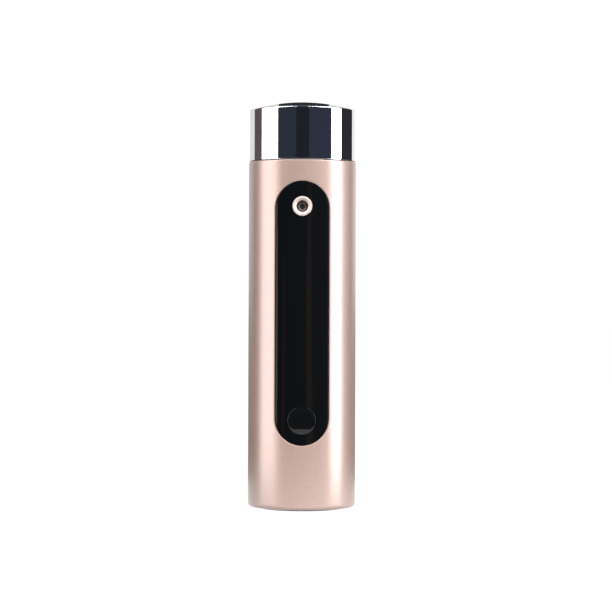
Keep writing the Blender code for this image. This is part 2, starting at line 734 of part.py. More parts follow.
def build_collar():
    """The collar that closes the sleeve: skirt, deck, spigot for the cap and posts for the blade."""
    skirt_radius = BORE_RADIUS - FIT
    skirt_inner = TANK_RADIUS + FIT
    skirt_low = FRAME_HIGH + FIT
    skirt_high = BODY_TOP - 0.2 * MM
    edge = 0.3 * MM
    ring_room = GRIP_RING_ROUND + 0.2 * MM
    ring_z = DECK_Z - edge - GRIP_RING_ROUND - ring_room
    groove_low, groove_high = ring_z - ring_room, ring_z + ring_room
    groove_radius = GRIP_RING_MIDDLE - GRIP_RING_ROUND - FIT
    profile = [
        (0.0, DECK_Z),
        (SPIGOT_RADIUS - edge, DECK_Z),
        (SPIGOT_RADIUS, DECK_Z - edge),
        (SPIGOT_RADIUS, groove_high),
        (groove_radius, groove_high),
        (groove_radius, groove_low),
        (SPIGOT_RADIUS, groove_low),
        (SPIGOT_RADIUS, skirt_high),
        (skirt_radius, skirt_high),
        (skirt_radius, skirt_low),
        (skirt_inner, skirt_low),
        (skirt_inner, DECK_LOW),
        (0.0, DECK_LOW),
    ]
    collar = turned("head_collar", profile, COLLAR_WHITE)
    post_front = BLADE_Y - BLADE_THICKNESS / 2 - FIT
    post_low = CLAMP_Z - CLAMP_HALF_HEIGHT - OVERLAP
    for side, name in ((-1, "left"), (1, "right")):
        x = side * CLAMP_SCREW_X
        low = (x - POST_HALF_WIDTH, post_front - POST_DEPTH, post_low)
        high = (x + POST_HALF_WIDTH, post_front, DECK_LOW + COLLAR_DECK / 2)
        join(collar, box(f"join_blade_post_{name}", low, high))
    neck_radius = FILLER_BORE + FILLER_WALL + FIT
    neck_hole = cylinder(
        "cut_neck_hole", neck_radius, (0, FILLER_Y, DECK_LOW - OVERLAP), (0, FILLER_Y, DECK_Z + OVERLAP)
    )
    slot = wide_pill(BOOT_WIDTH + 2 * FIT, BOOT_DEPTH + 2 * FIT, BLADE_Y)
    cut(collar, neck_hole, plate("cut_blade_slot", slot, DECK_LOW - OVERLAP, DECK_Z + OVERLAP))
    for side, name in ((-1, "left"), (1, "right")):
        x = side * CLAMP_SCREW_X
        thread = forwards(
            f"cut_post_thread_{name}", CLAMP_SCREW[0] + FIT, -BLADE_Y, OVERLAP, CLAMP_Z, x, SCREW_SIDES
        )
        cut(collar, thread)
    ring_outline = arc((GRIP_RING_MIDDLE, ring_z), GRIP_RING_ROUND, 90, -210, 5)
    turned("cap_grip_ring", ring_outline, SILICONE, ring=True)


def bent(y, z):
    """Where a point of the straight blade goes once the blade is bent forwards near its tip."""
    along = z - BLADE_BEND_Z
    if along <= 0:
        return y, z
    turn = min(along / BLADE_BEND_RADIUS, BLADE_BEND_ANGLE)
    rest = along - BLADE_BEND_RADIUS * turn
    middle_y = BLADE_Y - BLADE_BEND_RADIUS * (1 - math.cos(turn)) - rest * math.sin(turn)
    middle_z = BLADE_BEND_Z + BLADE_BEND_RADIUS * math.sin(turn) + rest * math.cos(turn)
    through = y - BLADE_Y
    return middle_y + through * math.cos(turn), middle_z + through * math.sin(turn)


def build_blade():
    """The stainless scrubbing blade: a strip with a narrower root, bent forwards at its tip."""
    wide = BLADE_WIDTH / 2
    root = wide - BLADE_ROOT_INSET
    shoulder = CLAMP_Z - CLAMP_HALF_HEIGHT - OVERLAP
    outline = [(-root, BLADE_ROOT), (root, BLADE_ROOT), (root, shoulder - 2 * OVERLAP), (wide, shoulder)]
    outline += arc((wide - BLADE_CORNER, BLADE_TIP - BLADE_CORNER), BLADE_CORNER, 0, 90, 5)
    outline += arc((-wide + BLADE_CORNER, BLADE_TIP - BLADE_CORNER), BLADE_CORNER, 90, 180, 5)
    outline += [(-wide, shoulder), (-root, shoulder - 2 * OVERLAP)]
    back = -(BLADE_Y + BLADE_THICKNESS / 2)
    blade = plate("scrub_blade", outline, back, back + BLADE_THICKNESS, STEEL, front=True)
    shape = bmesh.new()
    shape.from_mesh(blade.data)
    steps = 5
    for k in range(steps + 1):
        height = BLADE_BEND_Z + BLADE_BEND_RADIUS * BLADE_BEND_ANGLE * k / steps
        everything = shape.verts[:] + shape.edges[:] + shape.faces[:]
        bmesh.ops.bisect_plane(shape, geom=everything, plane_co=(0, 0, height), plane_no=(0, 0, 1))
    for vertex in shape.verts:
        vertex.co.y, vertex.co.z = bent(vertex.co.y, vertex.co.z)
    shape.to_mesh(blade.data)
    shape.free()
    return blade


def build_blade_fittings(blade):
    """The blade's clamp bar and screws, its ceramic drive disc and the soft boot round it."""
    reach = BLADE_WIDTH / 2 - FIT
    bar = box(
        "blade_clamp",
        (-reach, BLADE_REAR, CLAMP_Z - CLAMP_HALF_HEIGHT),
        (reach, BLADE_REAR + CLAMP_THICKNESS, CLAMP_Z + CLAMP_HALF_HEIGHT),
        SCREW_STEEL,
    )
    seat = BLADE_REAR + CLAMP_THICKNESS + FIT
    for side, name in ((-1, "left"), (1, "right")):
        x = side * CLAMP_SCREW_X
        for part in (blade, bar):
            hole = forwards(
                f"cut_{part.name}_{name}", CLAMP_SCREW[0] + FIT, -BODY_RADIUS, 0.0, CLAMP_Z, x, SCREW_SIDES
            )
            cut(part, hole)
        screw_part(f"blade_clamp_screw_{name}", (x, OVERLAP, CLAMP_Z), (x, seat, CLAMP_Z), CLAMP_SCREW)
    disc_z = BLADE_ROOT + DRIVE_DISC_RADIUS + DRIVE_DISC_MARGIN
    disc_rear = BLADE_REAR + DRIVE_DISC_THICKNESS
    forwards(
        "blade_drive_disc", DRIVE_DISC_RADIUS, -disc_rear, -BLADE_REAR, disc_z, sides=24, material=CERAMIC
    )
    brim_low = DECK_Z + FIT
    brim_high = brim_low + BOOT_WALL
    stem = wide_pill(BOOT_WIDTH, BOOT_DEPTH, BLADE_Y)
    boot = plate("blade_boot", stem, DECK_LOW - 2 * FIT, brim_high - FIT, SILICONE)
    brim = wide_pill(BOOT_WIDTH + 2 * BOOT_WALL, BOOT_DEPTH + 2 * BOOT_WALL, BLADE_Y)
    join(boot, plate("join_boot_brim", brim, brim_low, brim_high))
    grip = wide_pill(BLADE_WIDTH + 2 * FIT, BLADE_THICKNESS + 2 * FIT, BLADE_Y)
    cut(boot, plate("cut_boot_grip", grip, DECK_LOW - OVERLAP, DECK_Z + 2 * OVERLAP))


def build_filler_plug():
    """The soft plug in the filler neck, with a lip to pull it by."""
    head_low = DECK_Z + FIT
    head_high = head_low + PLUG_HEAD
    edge = PLUG_HEAD / 3
    stem = FILLER_BORE - FIT
    stem_end = DECK_Z - PLUG_STEM
    head = FILLER_BORE + FILLER_WALL + PLUG_OVERHANG
    profile = [
        (0.0, head_high),
        (head - edge, head_high),
        (head, head_high - edge),
        (head, head_low),
        (stem, head_low),
        (stem, stem_end + edge),
        (stem - edge, stem_end),
        (0.0, stem_end),
    ]
    plug = turned("filler_plug", profile, SILICONE, SMALL_SIDES)
    plug.location = (0.0, FILLER_Y, 0.0)
    half = head / 3
    low = (-half, FILLER_Y - head - half, head_low + edge / 4)
    lip = box("join_plug_lip", low, (half, FILLER_Y - head / 2, head_low + PLUG_HEAD / 2))
    join(plug, lip)
    return plug


def build_cap():
    """The chrome cap: a domed shell and the plastic liner that slides over the collar."""
    ceiling = CAP_TOP - CAP_WALL
    edge_centre = (CAP_RADIUS - CAP_EDGE_RADIUS, CAP_TOP - CAP_CROWN - CAP_EDGE_RADIUS)
    inner = CAP_RADIUS - CAP_WALL
    rim_edge = 0.15 * MM
    profile = crown_heights(CAP_RADIUS - 1.5 * CAP_EDGE_RADIUS, CAP_TOP)
    profile += arc(edge_centre, CAP_EDGE_RADIUS, 60, 0, 2)
    profile += [(CAP_RADIUS, CAP_RIM + rim_edge), (CAP_RADIUS - rim_edge, CAP_RIM), (inner, CAP_RIM)]
    profile += list(reversed(crown_heights(inner, ceiling)))
    shell = turned("cap_shell", profile, CHROME)
    liner_top = ceiling - FIT
    lead_in = FIT
    skirt = CAP_RIM + 2 * FIT
    profile = crown_heights(LINER_OUTER, liner_top)
    profile += [(LINER_OUTER, skirt), (LINER_INNER + lead_in, skirt), (LINER_INNER, skirt + lead_in)]
    profile += list(reversed(crown_heights(LINER_INNER, liner_top - LINER_WALL)))
    liner = turned("cap_liner", profile, LINER_WHITE)
    return shell, liner


def build_button():
    """The power button, whose flange keeps it behind the panel, and the switch's plunger."""
    front = BODY_RADIUS - FACE_SINK
    edge = BUTTON_DOME / 2
    flange_front = PANEL_POCKET - FIT
    flange_rear = flange_front - BUTTON_FLANGE_WALL
    profile = [
        (0.0, front),
        (BUTTON_RADIUS / 2, front - BUTTON_DOME / 4),
        (BUTTON_RADIUS - edge, front - BUTTON_DOME),
        (BUTTON_RADIUS, front - BUTTON_DOME - edge),
        (BUTTON_RADIUS, flange_front),
        (BUTTON_FLANGE_RADIUS, flange_front),
        (BUTTON_FLANGE_RADIUS, flange_rear),
        (0.0, flange_rear),
    ]
    button = facing_front(turned("power_button", profile, BUTTON_BLACK, SMALL_SIDES), BUTTON_Z)
    plunger_rear = SWITCH_FRONT - SWITCH_WELL + 2 * BUTTON_TRAVEL
    plunger = forwards(
        "switch_plunger", PLUNGER_RADIUS, plunger_rear, flange_rear - FIT, BUTTON_Z, material=CHIP_BLACK
    )
    return button, plunger


def half_shell(name, profile, rear):
    """A turned shell cut in two at the handle's middle plane, with a gap for the other half."""
    shell = turned(name, profile, FRAME_GREY)
    far = BODY_RADIUS + OVERLAP
    near = SPLIT_GAP / 2
    span = (near, far) if rear else (-far, -near)
    keep = box(f"keep_{name}", (-far, span[0], 0.0), (far, span[1], BODY_TOP))
    return keep_inside(shell, keep)


def build_inner_frame():
    """The two half shells of the inner frame, with their bosses, ribs, posts and openings."""
    floor_top = FRAME_LOW + FRAME_FLOOR
    step = WINDOW_LOW - PANEL_FLANGE - 2 * FIT
    rear_profile = [
        (0.0, floor_top),
        (REAR_FRAME_INNER, floor_top),
        (REAR_FRAME_INNER, FRAME_HIGH),
        (REAR_FRAME_RADIUS, FRAME_HIGH),
        (REAR_FRAME_RADIUS, FRAME_LOW),
        (0.0, FRAME_LOW),
    ]
    front_profile = [
        (0.0, floor_top),
        (FRONT_FRAME_INNER, floor_top),
        (FRONT_FRAME_INNER, FRAME_HIGH),
        (FRONT_FRAME_RADIUS, FRAME_HIGH),
        (FRONT_FRAME_RADIUS, step),
        (REAR_FRAME_RADIUS, step),
        (REAR_FRAME_RADIUS, FRAME_LOW),
        (0.0, FRAME_LOW),
    ]
    rear = half_shell("inner_frame_rear", rear_profile, rear=True)
    front = half_shell("inner_frame_front", front_profile, rear=False)
    number = 0
    for height in (JOIN_SCREW_LOW, JOIN_SCREW_HIGH):
        for side in (-1, 1):
            number += 1
            add_join_screw(front, rear, number, side, height)
    add_base_bosses(front, rear)
    add_cell_ribs(rear)
    add_front_openings(front)
    add_board_posts(front)


def add_join_screw(front, rear, number, side, height):
    """One of the four screws that hold the halves together, with its boss in each of them."""
    x = side * JOIN_SCREW_X
    near = SPLIT_GAP / 2
    shank, head, head_height = FRAME_SCREW
    shank_room, head_room = shank + FIT, head + FIT
    seat = JOIN_BOSS_REACH - 2 * FIT
    past = JOIN_BOSS_REACH + OVERLAP

    def rod(name, radius, start, end):
        return forwards(f"{name}_{number}", radius, start, end, height, x, SCREW_SIDES)

    def web(name, start, end, wall_inner):
        thinnest = math.sqrt((wall_inner + FRAME_WALL) ** 2 - JOIN_WEB_REACH**2)
        wall_middle = (wall_inner + thinnest) / 2
        left, right = sorted((x, side * wall_middle))
        low = (left, start, height - JOIN_WEB_HALF_HEIGHT)
        return box(f"{name}_{number}", low, (right, end, height + JOIN_WEB_HALF_HEIGHT))

    join(
        front,
        rod("join_front_boss", JOIN_BOSS_RADIUS, near, JOIN_BOSS_REACH),
        web("join_front_web", -JOIN_WEB_REACH, -near, FRONT_FRAME_INNER),
    )
    join(
        rear,
        rod("join_rear_boss", JOIN_BOSS_RADIUS, -JOIN_BOSS_REACH, -near),
        web("join_rear_web", near, JOIN_WEB_REACH, REAR_FRAME_INNER),
    )
    access = rod("cut_front_access", head_room, seat, BODY_RADIUS)
    cut(front, rod("cut_front_shank", shank_room, 0.0, past), access)
    cut(rear, rod("cut_rear_thread", shank_room, -past, 0.0))
    tip = (x, JOIN_BOSS_REACH - 2 * OVERLAP, height)
    screw_part(f"frame_screw_{number}", tip, (x, -seat - FIT, height), FRAME_SCREW)


def add_base_bosses(front, rear):
    """Bosses that take the base screws and carry the charging board, and room for the socket."""
    shank = BASE_SCREW[0]
    for side, x, y in BASE_SCREW_PLACES:
        half = rear if y > 0 else front
        boss_low = FRAME_LOW + FRAME_FLOOR / 2
        boss = upright(f"join_base_boss_{side}", BASE_BOSS_RADIUS, x, y, boss_low, SOCKET_HIGH)
        hole = upright(f"cut_base_boss_{side}", shank + FIT, x, y, 0.0, SOCKET_HIGH + OVERLAP)
        join(half, boss)
        cut(half, hole)
    room_x, room_y = SOCKET_WIDTH / 2 + FIT, SOCKET_DEPTH / 2 + FIT
    for half, name in ((front, "front"), (rear, "rear")):
        room = box(f"cut_{name}_socket_room", (-room_x, -room_y, 0.0), (room_x, room_y, SOCKET_HIGH))
        cut(half, room)


def add_cell_ribs(rear):
    """Ribs on the rear half that reach round the cell's sides."""
    back = math.sqrt(REAR_FRAME_INNER**2 - CELL_RIB_REACH**2) + FRAME_WALL / 2
    half = CELL_RIB_THICKNESS / 2
    for number, height in enumerate(CELL_RIB_HEIGHTS, 1):
        low = (-CELL_RIB_REACH, CELL_Y - 4.0 * MM, height - half)
        join(rear, box(f"join_cell_rib_{number}", low, (CELL_RIB_REACH, back, height + half)))
    low, high = CELL_LOW - FIT, CELL_TOP + FIT
    cut(rear, cylinder("cut_cell_room", CELL_RADIUS + FIT, (0, CELL_Y, low), (0, CELL_Y, high), sides=24))


def add_front_openings(front):
    """Openings in the front half for the button, the status light and the mist stack."""
    near = TANK_FRONT + FIT
    openings = (
        ("button", BUTTON_FLANGE_RADIUS + 2 * FIT, BUTTON_Z),
        ("light", LIGHT_HOLE_RADIUS, LIGHT_Z),
        ("nozzle", MIST_STACK_RADIUS + 2 * FIT, NOZZLE_Z),
    )
    for name, radius, height in openings:
        cut(front, forwards(f"cut_frame_{name}", radius, near, BODY_RADIUS, height))


def add_board_posts(front):
    """Posts behind the front half's wall that the main board is screwed to."""
    for name, x, height in BOARD_SCREW_PLACES:
        reach = math.sqrt((FRONT_FRAME_RADIUS - FIT) ** 2 - (abs(x) + BOARD_POST_RADIUS) ** 2)
        near = BOARD_FRONT + FIT
        post = forwards(f"join_board_post_{name}", BOARD_POST_RADIUS, near, reach, height, x, SCREW_SIDES)
        hole = forwards(
            f"cut_board_post_{name}", BOARD_SCREW[0] + FIT, BOARD_REAR, reach - FIT, height, x, SCREW_SIDES
        )
        join(front, post)
        cut(front, hole)


def build_main_board():
    """The main board with its two screws, switch, status light, controller and drive parts."""
    low = (-BOARD_HALF_WIDTH, -BOARD_FRONT, BOARD_LOW)
    board = box("main_board", low, (BOARD_HALF_WIDTH, -BOARD_REAR, BOARD_HIGH), BOARD_GREEN)
    for name, x, height in BOARD_SCREW_PLACES:
        room = BOARD_SCREW[0] + FIT
        cut(board, forwards(f"cut_board_{name}", room, 0.0, BODY_RADIUS, height, x, SCREW_SIDES))
        tip = (x, -BOARD_FRONT - 2 * OVERLAP, height)
        screw_part(f"board_screw_{name}", tip, (x, -BOARD_REAR + FIT, height), BOARD_SCREW)
    half = SWITCH_SIZE / 2
    front_face = -BOARD_FRONT - FIT
    low = (-half, -SWITCH_FRONT, BUTTON_Z - half)
    switch = box("power_switch", low, (half, front_face, BUTTON_Z + half), CHIP_BLACK)
    well_floor = SWITCH_FRONT - SWITCH_WELL
    well = forwards("cut_switch_well", PLUNGER_RADIUS + FIT, well_floor, SWITCH_FRONT + OVERLAP, BUTTON_Z)
    cut(switch, well)
    light = (0.8 * MM, 0.8 * MM, 0.5 * MM)
    low = (-light[0], front_face - light[1], LIGHT_Z - light[2])
    box("status_led", low, (light[0], front_face, LIGHT_Z + light[2]), LED_WHITE)
    rear = -BOARD_REAR + FIT
    chip, chip_height = 3.5 * MM, 1.2 * MM
    low = (-chip, rear, CHIP_Z - chip)
    box("controller_chip", low, (chip, rear + chip_height, CHIP_Z + chip), CHIP_BLACK)
    can_radius, can_height = 2.5 * MM, 4.6 * MM
    for number, (x, height) in enumerate(CAPACITOR_PLACES, 1):
        name = f"filter_capacitor_{number}"
        forwards(name, can_radius, -rear - can_height, -rear, height, x, material=NICKEL)
    build_inductor(rear)
    build_transformer(rear)


def build_inductor(rear):
    """The mist circuit's inductor: a ferrite drum with a winding between its flanges."""
    flange = 3.0 * MM
    drum = 1.4 * MM
    edge = 0.8 * MM
    height = 4.2 * MM
    profile = [
        (0.0, height),
        (flange, height),
        (flange, height - edge),
        (drum, height - edge),
        (drum, edge),
        (flange, edge),
        (flange, 0.0),
        (0.0, 0.0),
    ]
    core = turned("inductor_core", profile, FERRITE, SMALL_SIDES)
    low, high = edge + FIT, height - edge - FIT
    winding = ring("inductor_winding", flange - FIT, drum + FIT, low, high, COPPER, SMALL_SIDES)
    x, place_z = INDUCTOR_PLACE
    for part in (core, winding):
        part.rotation_euler = REAR_TURN
        part.location = (x, rear, place_z)


def build_transformer(rear):
    """The blade drive's transformer: a ferrite core with two windows and a wound bobbin."""
    wind_reach = 4.7 * MM
    wind_half_width = 3.7 * MM
    core_half_width = 5.5 * MM
    core_half_depth = 3.0 * MM
    core_half_height = 5.0 * MM
    leg = 1.4 * MM
    window = core_half_height - 2.0 * MM
    y = rear + wind_reach + 0.1 * MM
    z = TRANSFORMER_Z
    core = box(
        "transformer_core",
        (-core_half_width, y - core_half_depth, z - core_half_height),
        (core_half_width, y + core_half_depth, z + core_half_height),
        FERRITE,
    )
    for side, name in ((-1, "left"), (1, "right")):
        near, far = sorted((side * leg, side * (core_half_width - leg)))
        low = (near, -BODY_RADIUS, z - window)
        cut(core, box(f"cut_core_window_{name}", low, (far, BODY_RADIUS, z + window)))
    winding = box(
        "transformer_winding",
        (-wind_half_width, y - wind_reach, z - window + FIT),
        (wind_half_width, y + wind_reach, z + window - FIT),
        COPPER,
        bevel=0.6 * MM,
    )
    room_x, room_y = leg + FIT, core_half_depth + FIT
    low = (-room_x, y - room_y, z - 2 * window)
    cut(winding, box("cut_winding_leg", low, (room_x, y + room_y, z + 2 * window)))


def build_charging():
    """The charging socket in the base and the small round board that carries it."""
    outside = wide_pill(SOCKET_WIDTH, SOCKET_DEPTH)
    socket = plate("charging_socket", outside, SOCKET_LOW, SOCKET_HIGH, NICKEL)
    inside = wide_pill(SOCKET_WIDTH - 2 * SOCKET_WALL, SOCKET_DEPTH - 2 * SOCKET_WALL)
    back_wall = 1.2 * MM
    back = SOCKET_HIGH - back_wall
    tongue_x, tongue_y, tongue_sink = 3.3 * MM, 0.35 * MM, 0.8 * MM
    low = (-tongue_x, -tongue_y, SOCKET_LOW + tongue_sink)
    tongue = box("join_socket_tongue", low, (tongue_x, tongue_y, back + back_wall / 2))
    cut(socket, plate("cut_socket_mouth", inside, 0.0, back))
    join(socket, tongue)
    low_z = SOCKET_HIGH + FIT
    high_z = low_z + BOARD_THICKNESS
    board = cylinder(
        "charging_board", CHARGING_BOARD_RADIUS, (0, 0, low_z), (0, 0, high_z), BOARD_GREEN, sides=24
    )
    x, y = CHARGING_BOARD_HALF_WIDTH, BODY_RADIUS
    keep_inside(board, box("keep_charging_board", (-x, -y, 0.0), (x, y, 2 * high_z)))
    chip_x, chip_y, chip_z = 4.0 * MM, 3.0 * MM, 1.0 * MM
    low = Vector((-6.4 * MM, -7.5 * MM, high_z + FIT))
    box("charging_chip", low, low + Vector((chip_x, chip_y, chip_z)), CHIP_BLACK)


def build_cell():
    """The rechargeable cell and the nickel strips on its ends."""
    shoulder = CELL_TOP - CELL_SHOULDER
    edge = 0.4 * MM
    profile = [
        (0.0, CELL_TOP),
        (CELL_CAP_RADIUS, CELL_TOP),
        (CELL_CAP_RADIUS, shoulder),
        (CELL_RADIUS - edge, shoulder),
        (CELL_RADIUS, shoulder - edge),
        (CELL_RADIUS, CELL_LOW + edge),
        (CELL_RADIUS - edge, CELL_LOW),
        (0.0, CELL_LOW),
    ]
    cell = turned("battery_cell", profile, CELL_WRAP, 24)
    cell.location = (0.0, CELL_Y, 0.0)
    half = 2.0 * MM
    for name, low in (("positive", CELL_TOP + FIT), ("negative", CELL_LOW - FIT - STRIP_THICKNESS)):
        start = (-half, CELL_Y - 2.75 * half, low)
        box(f"battery_tab_{name}", start, (half, CELL_Y + half, low + STRIP_THICKNESS), NICKEL)


def build_leads():
    """The insulated leads. Each route is a list of points in millimetres above its own height."""
    board = BOARD_HIGH - BLADE_LEAD_BELOW
    charging = SOCKET_HIGH + FIT + BOARD_THICKNESS + FIT + THIN_LEAD
    tank = TANK_FLOOR_Z - MIST_LEAD_BELOW
    gap = 0.8
    stack = NOZZLE_Z - MIST_STACK_RADIUS
    lead_y = -(SEAL_REAR_FRONT + CERAMIC_FRONT) / 2 / MM
    cell = CELL_TOP + FIT + STRIP_THICKNESS + FIT + THICK_LEAD
    under = CELL_LOW - FIT - STRIP_THICKNESS - FIT - THICK_LEAD
    sideways = (("live", 1, WIRE_RED, WIRE_WHITE), ("return", -1, WIRE_WHITE, WIRE_BLACK))
    wire(
        "battery_lead_positive",
        [(0, 3.0, 0), (0.8, 0.5, 0.5), (2.2, -3.0, 1.6), (3.4, -6.2, 0.9), (3.4, -7.4, -0.7)],
        cell,
        THICK_LEAD,
        WIRE_RED,
    )
    wire(
        "battery_lead_negative",
        [(0, 1.2, 0), (-1.0, -0.8, 0), (-3.0, -3.4, 1.9), (-4.2, -6.2, 6.2), (-4.2, -7.5, 13.2)],
        under,
        THICK_LEAD,
        WIRE_BLACK,
    )
    for name, x, material in (("positive", 3.4, WIRE_RED), ("negative", 5.2, WIRE_BLACK)):
        route = [(x, -4.0, 0), (x, -4.6, 2.3), (x - 0.5, -6.6, 6.3), (x - 0.9, -7.7, 12.3)]
        wire(f"charging_lead_{name}", route, charging, THIN_LEAD, material)
    for name, side, blade_colour, mist_colour in sideways:
        to_blade = [
            (side * 3.0, -7.6, 0),
            (side * 3.2, -5.2, 2.0),
            (side * 3.2, 0.0, 2.4),
            (side * 3.4, 5.6, 3.0),
            (side * 3.6, 8.0, 6.4),
            (side * 3.2, 6.7, 11.0),
        ]
        wire(f"blade_lead_{name}", to_blade, board, THIN_LEAD, blade_colour)
        to_mist = [
            (side * 2.2, -10.4, 0),
            (side * 2.4, lead_y + 1.4, 3.0),
            (side * 2.2, lead_y + 0.2, 7.0),
            (side * 1.6, lead_y, (stack - tank) / MM - gap),
        ]
        wire(f"mist_lead_{name}", to_mist, tank, THIN_LEAD, mist_colour)


def hang(group, name, place):
    """Hangs a moving group on an empty that stands on its joint's axis."""
    pivot = bpy.data.objects.new(name, None)
    PARTS.objects.link(pivot)
    pivot.location = place
    bpy.context.view_layer.update()
    for part in group:
        part.parent = pivot
        part.matrix_parent_inverse = pivot.matrix_world.inverted()


def main():
    """Builds the whole scrubber, from the sleeve inwards."""
    build_sleeve()
    build_base()
    build_front_panel()
    build_nozzle()
    build_tank()
    build_collar()
    build_blade_fittings(build_blade())
    build_inner_frame()
    build_main_board()
    build_charging()
    build_cell()
    build_leads()
    fixed = list(PARTS.objects)
    hang(build_cap(), "cap_pivot", (0.0, 0.0, CAP_RIM))
    hang(build_button(), "button_pivot", (0.0, -BODY_RADIUS, BUTTON_Z))
    hang([build_filler_plug()], "plug_pivot", (0.0, FILLER_Y, DECK_Z))
    hang(fixed, "handle", (0.0, 0.0, 0.0))


main()
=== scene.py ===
"""Looks of an upright cylindrical skin scrubber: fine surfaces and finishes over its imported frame.

Every size that places a piece is read from the frame. The sizes written here are the small ones
that the frame leaves out, such as walls, steps, edge rounds and patterns, and the studio's own.
"""

import json
import logging
import math
from dataclasses import dataclass, field
from enum import Enum

import bmesh
import bpy
import numpy as np
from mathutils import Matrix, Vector


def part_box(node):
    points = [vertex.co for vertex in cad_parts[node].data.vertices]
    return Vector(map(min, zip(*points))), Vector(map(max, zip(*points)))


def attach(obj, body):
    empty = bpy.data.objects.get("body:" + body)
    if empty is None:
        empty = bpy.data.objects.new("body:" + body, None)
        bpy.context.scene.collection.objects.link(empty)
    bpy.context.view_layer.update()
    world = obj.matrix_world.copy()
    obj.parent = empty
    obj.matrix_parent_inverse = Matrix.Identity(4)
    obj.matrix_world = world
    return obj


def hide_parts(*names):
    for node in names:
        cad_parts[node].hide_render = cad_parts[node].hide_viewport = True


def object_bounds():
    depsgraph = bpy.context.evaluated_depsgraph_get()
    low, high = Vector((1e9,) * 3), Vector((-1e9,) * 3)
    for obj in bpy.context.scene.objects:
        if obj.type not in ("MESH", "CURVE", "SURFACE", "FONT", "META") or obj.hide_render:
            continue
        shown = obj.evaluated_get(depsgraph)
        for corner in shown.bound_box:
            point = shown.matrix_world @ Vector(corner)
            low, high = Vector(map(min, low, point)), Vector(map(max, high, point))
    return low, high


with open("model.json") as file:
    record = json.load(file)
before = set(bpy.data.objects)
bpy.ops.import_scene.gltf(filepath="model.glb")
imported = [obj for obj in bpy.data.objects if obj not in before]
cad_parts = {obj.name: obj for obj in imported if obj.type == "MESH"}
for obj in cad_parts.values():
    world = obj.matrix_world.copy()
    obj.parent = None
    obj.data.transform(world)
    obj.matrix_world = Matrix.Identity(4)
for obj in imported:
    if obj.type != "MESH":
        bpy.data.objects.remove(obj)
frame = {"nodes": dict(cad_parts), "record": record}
CAD_LOW, CAD_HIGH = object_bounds()

LOG = logging.getLogger("skin_scrubber")
MM = 0.001
WELD = 0.0005 * MM


class Turn(Enum):
    """How a piece's shading treats its edges."""

    SOFT = 60.0
    CRISP = 32.0


class Body(Enum):
    """The frame's rigid bodies."""

    HANDLE = "handle"
    CAP = "cap"
    BUTTON = "power_button"
    PLUG = "filler_plug"


@dataclass(frozen=True)
class Extent:
    """The room that one frame node takes."""

    low: Vector
    high: Vector

    @classmethod
    def of(cls, node: str) -> "Extent":
        """Reads a node's corners from the frame."""
        return cls(*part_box(node))

    @property
    def centre(self) -> Vector:
        """Returns the middle of the room."""
        return (self.low + self.high) / 2

    @property
    def radius(self) -> float:
        """Returns half of the room's width along X."""
        return (self.high.x - self.low.x) / 2

    @property
    def front(self) -> float:
        """Returns how far the room reaches forwards from the axis."""
        return -self.low.y


# ---------------------------------------------------------------- curves and grids


def circle(sides: int) -> np.ndarray:
    """Angles evenly round a circle, the last one left out because it is the first.

    Args:
        sides: how many angles.

    Returns:
        The angles in radians.
    """
    return np.linspace(0.0, 2.0 * math.pi, sides, endpoint=False)


def softened(corners: list[tuple[float, float, float]], steps: int = 5) -> np.ndarray:
    """A profile with its corners rounded.

    Each corner P with a round r becomes the curve (1-s)^2 A + 2s(1-s) P + s^2 B for s from 0 to 1,
    where A and B lie r from P towards its neighbours. A point just outside each end of the curve
    keeps the flats beside it flat.

    Args:
        corners: (radius, height, round) of each corner, in order.
        steps: how many steps a rounded corner takes.

    Returns:
        The profile's points, one (radius, height) a row.
    """
    points = np.array([corner[:2] for corner in corners])
    s = np.linspace(0.0, 1.0, steps + 1)[:, None]
    made = [points[:1]]
    for k in range(1, len(points) - 1):
        middle, rounding = points[k], corners[k][2]
        if rounding <= 0.0:
            made.append(points[k : k + 1])
            continue
        before, after = points[k - 1] - middle, points[k + 1] - middle
        long_before, long_after = np.linalg.norm(before), np.linalg.norm(after)
        reach = min(rounding, 0.46 * long_before, 0.46 * long_after)
        start = middle + before / long_before * reach
        end = middle + after / long_after * reach
        near = 0.12 * reach
        made.append((start + before / long_before * near)[None])
        made.append((1 - s) ** 2 * start + 2 * s * (1 - s) * middle + s**2 * end)
        made.append((end + after / long_after * near)[None])
    made.append(points[-1:])
    return np.concatenate(made)


def turned_grid(profile: np.ndarray, angles: np.ndarray) -> np.ndarray:
    """A profile carried round the upright axis: x = r sin a, y = -r cos a, z = h.

    Args:
        profile: (radius, height) rows.
        angles: the angles to carry it to, counted from the front.

    Returns:
        A grid of points, one profile row by one angle.
    """
    radius, height = profile[:, 0][:, None], profile[:, 1][:, None]
    a = angles[None, :]
    return np.stack([radius * np.sin(a), -radius * np.cos(a), height + 0 * a], axis=-1)


def forward_grid(profile: np.ndarray, angles: np.ndarray, height: float) -> np.ndarray:
    """A profile carried round a level axis that points forwards: x = r cos a, z = h + r sin a.

    Args:
        profile: (radius, distance forwards) rows.
        angles: the angles to carry it to.
        height: the level axis's height.

    Returns:
        A grid of points, one profile row by one angle.
    """
    radius, forward = profile[:, 0][:, None], profile[:, 1][:, None]
    a = angles[None, :]
    return np.stack([radius * np.cos(a), -forward + 0 * a, height + radius * np.sin(a)], axis=-1)


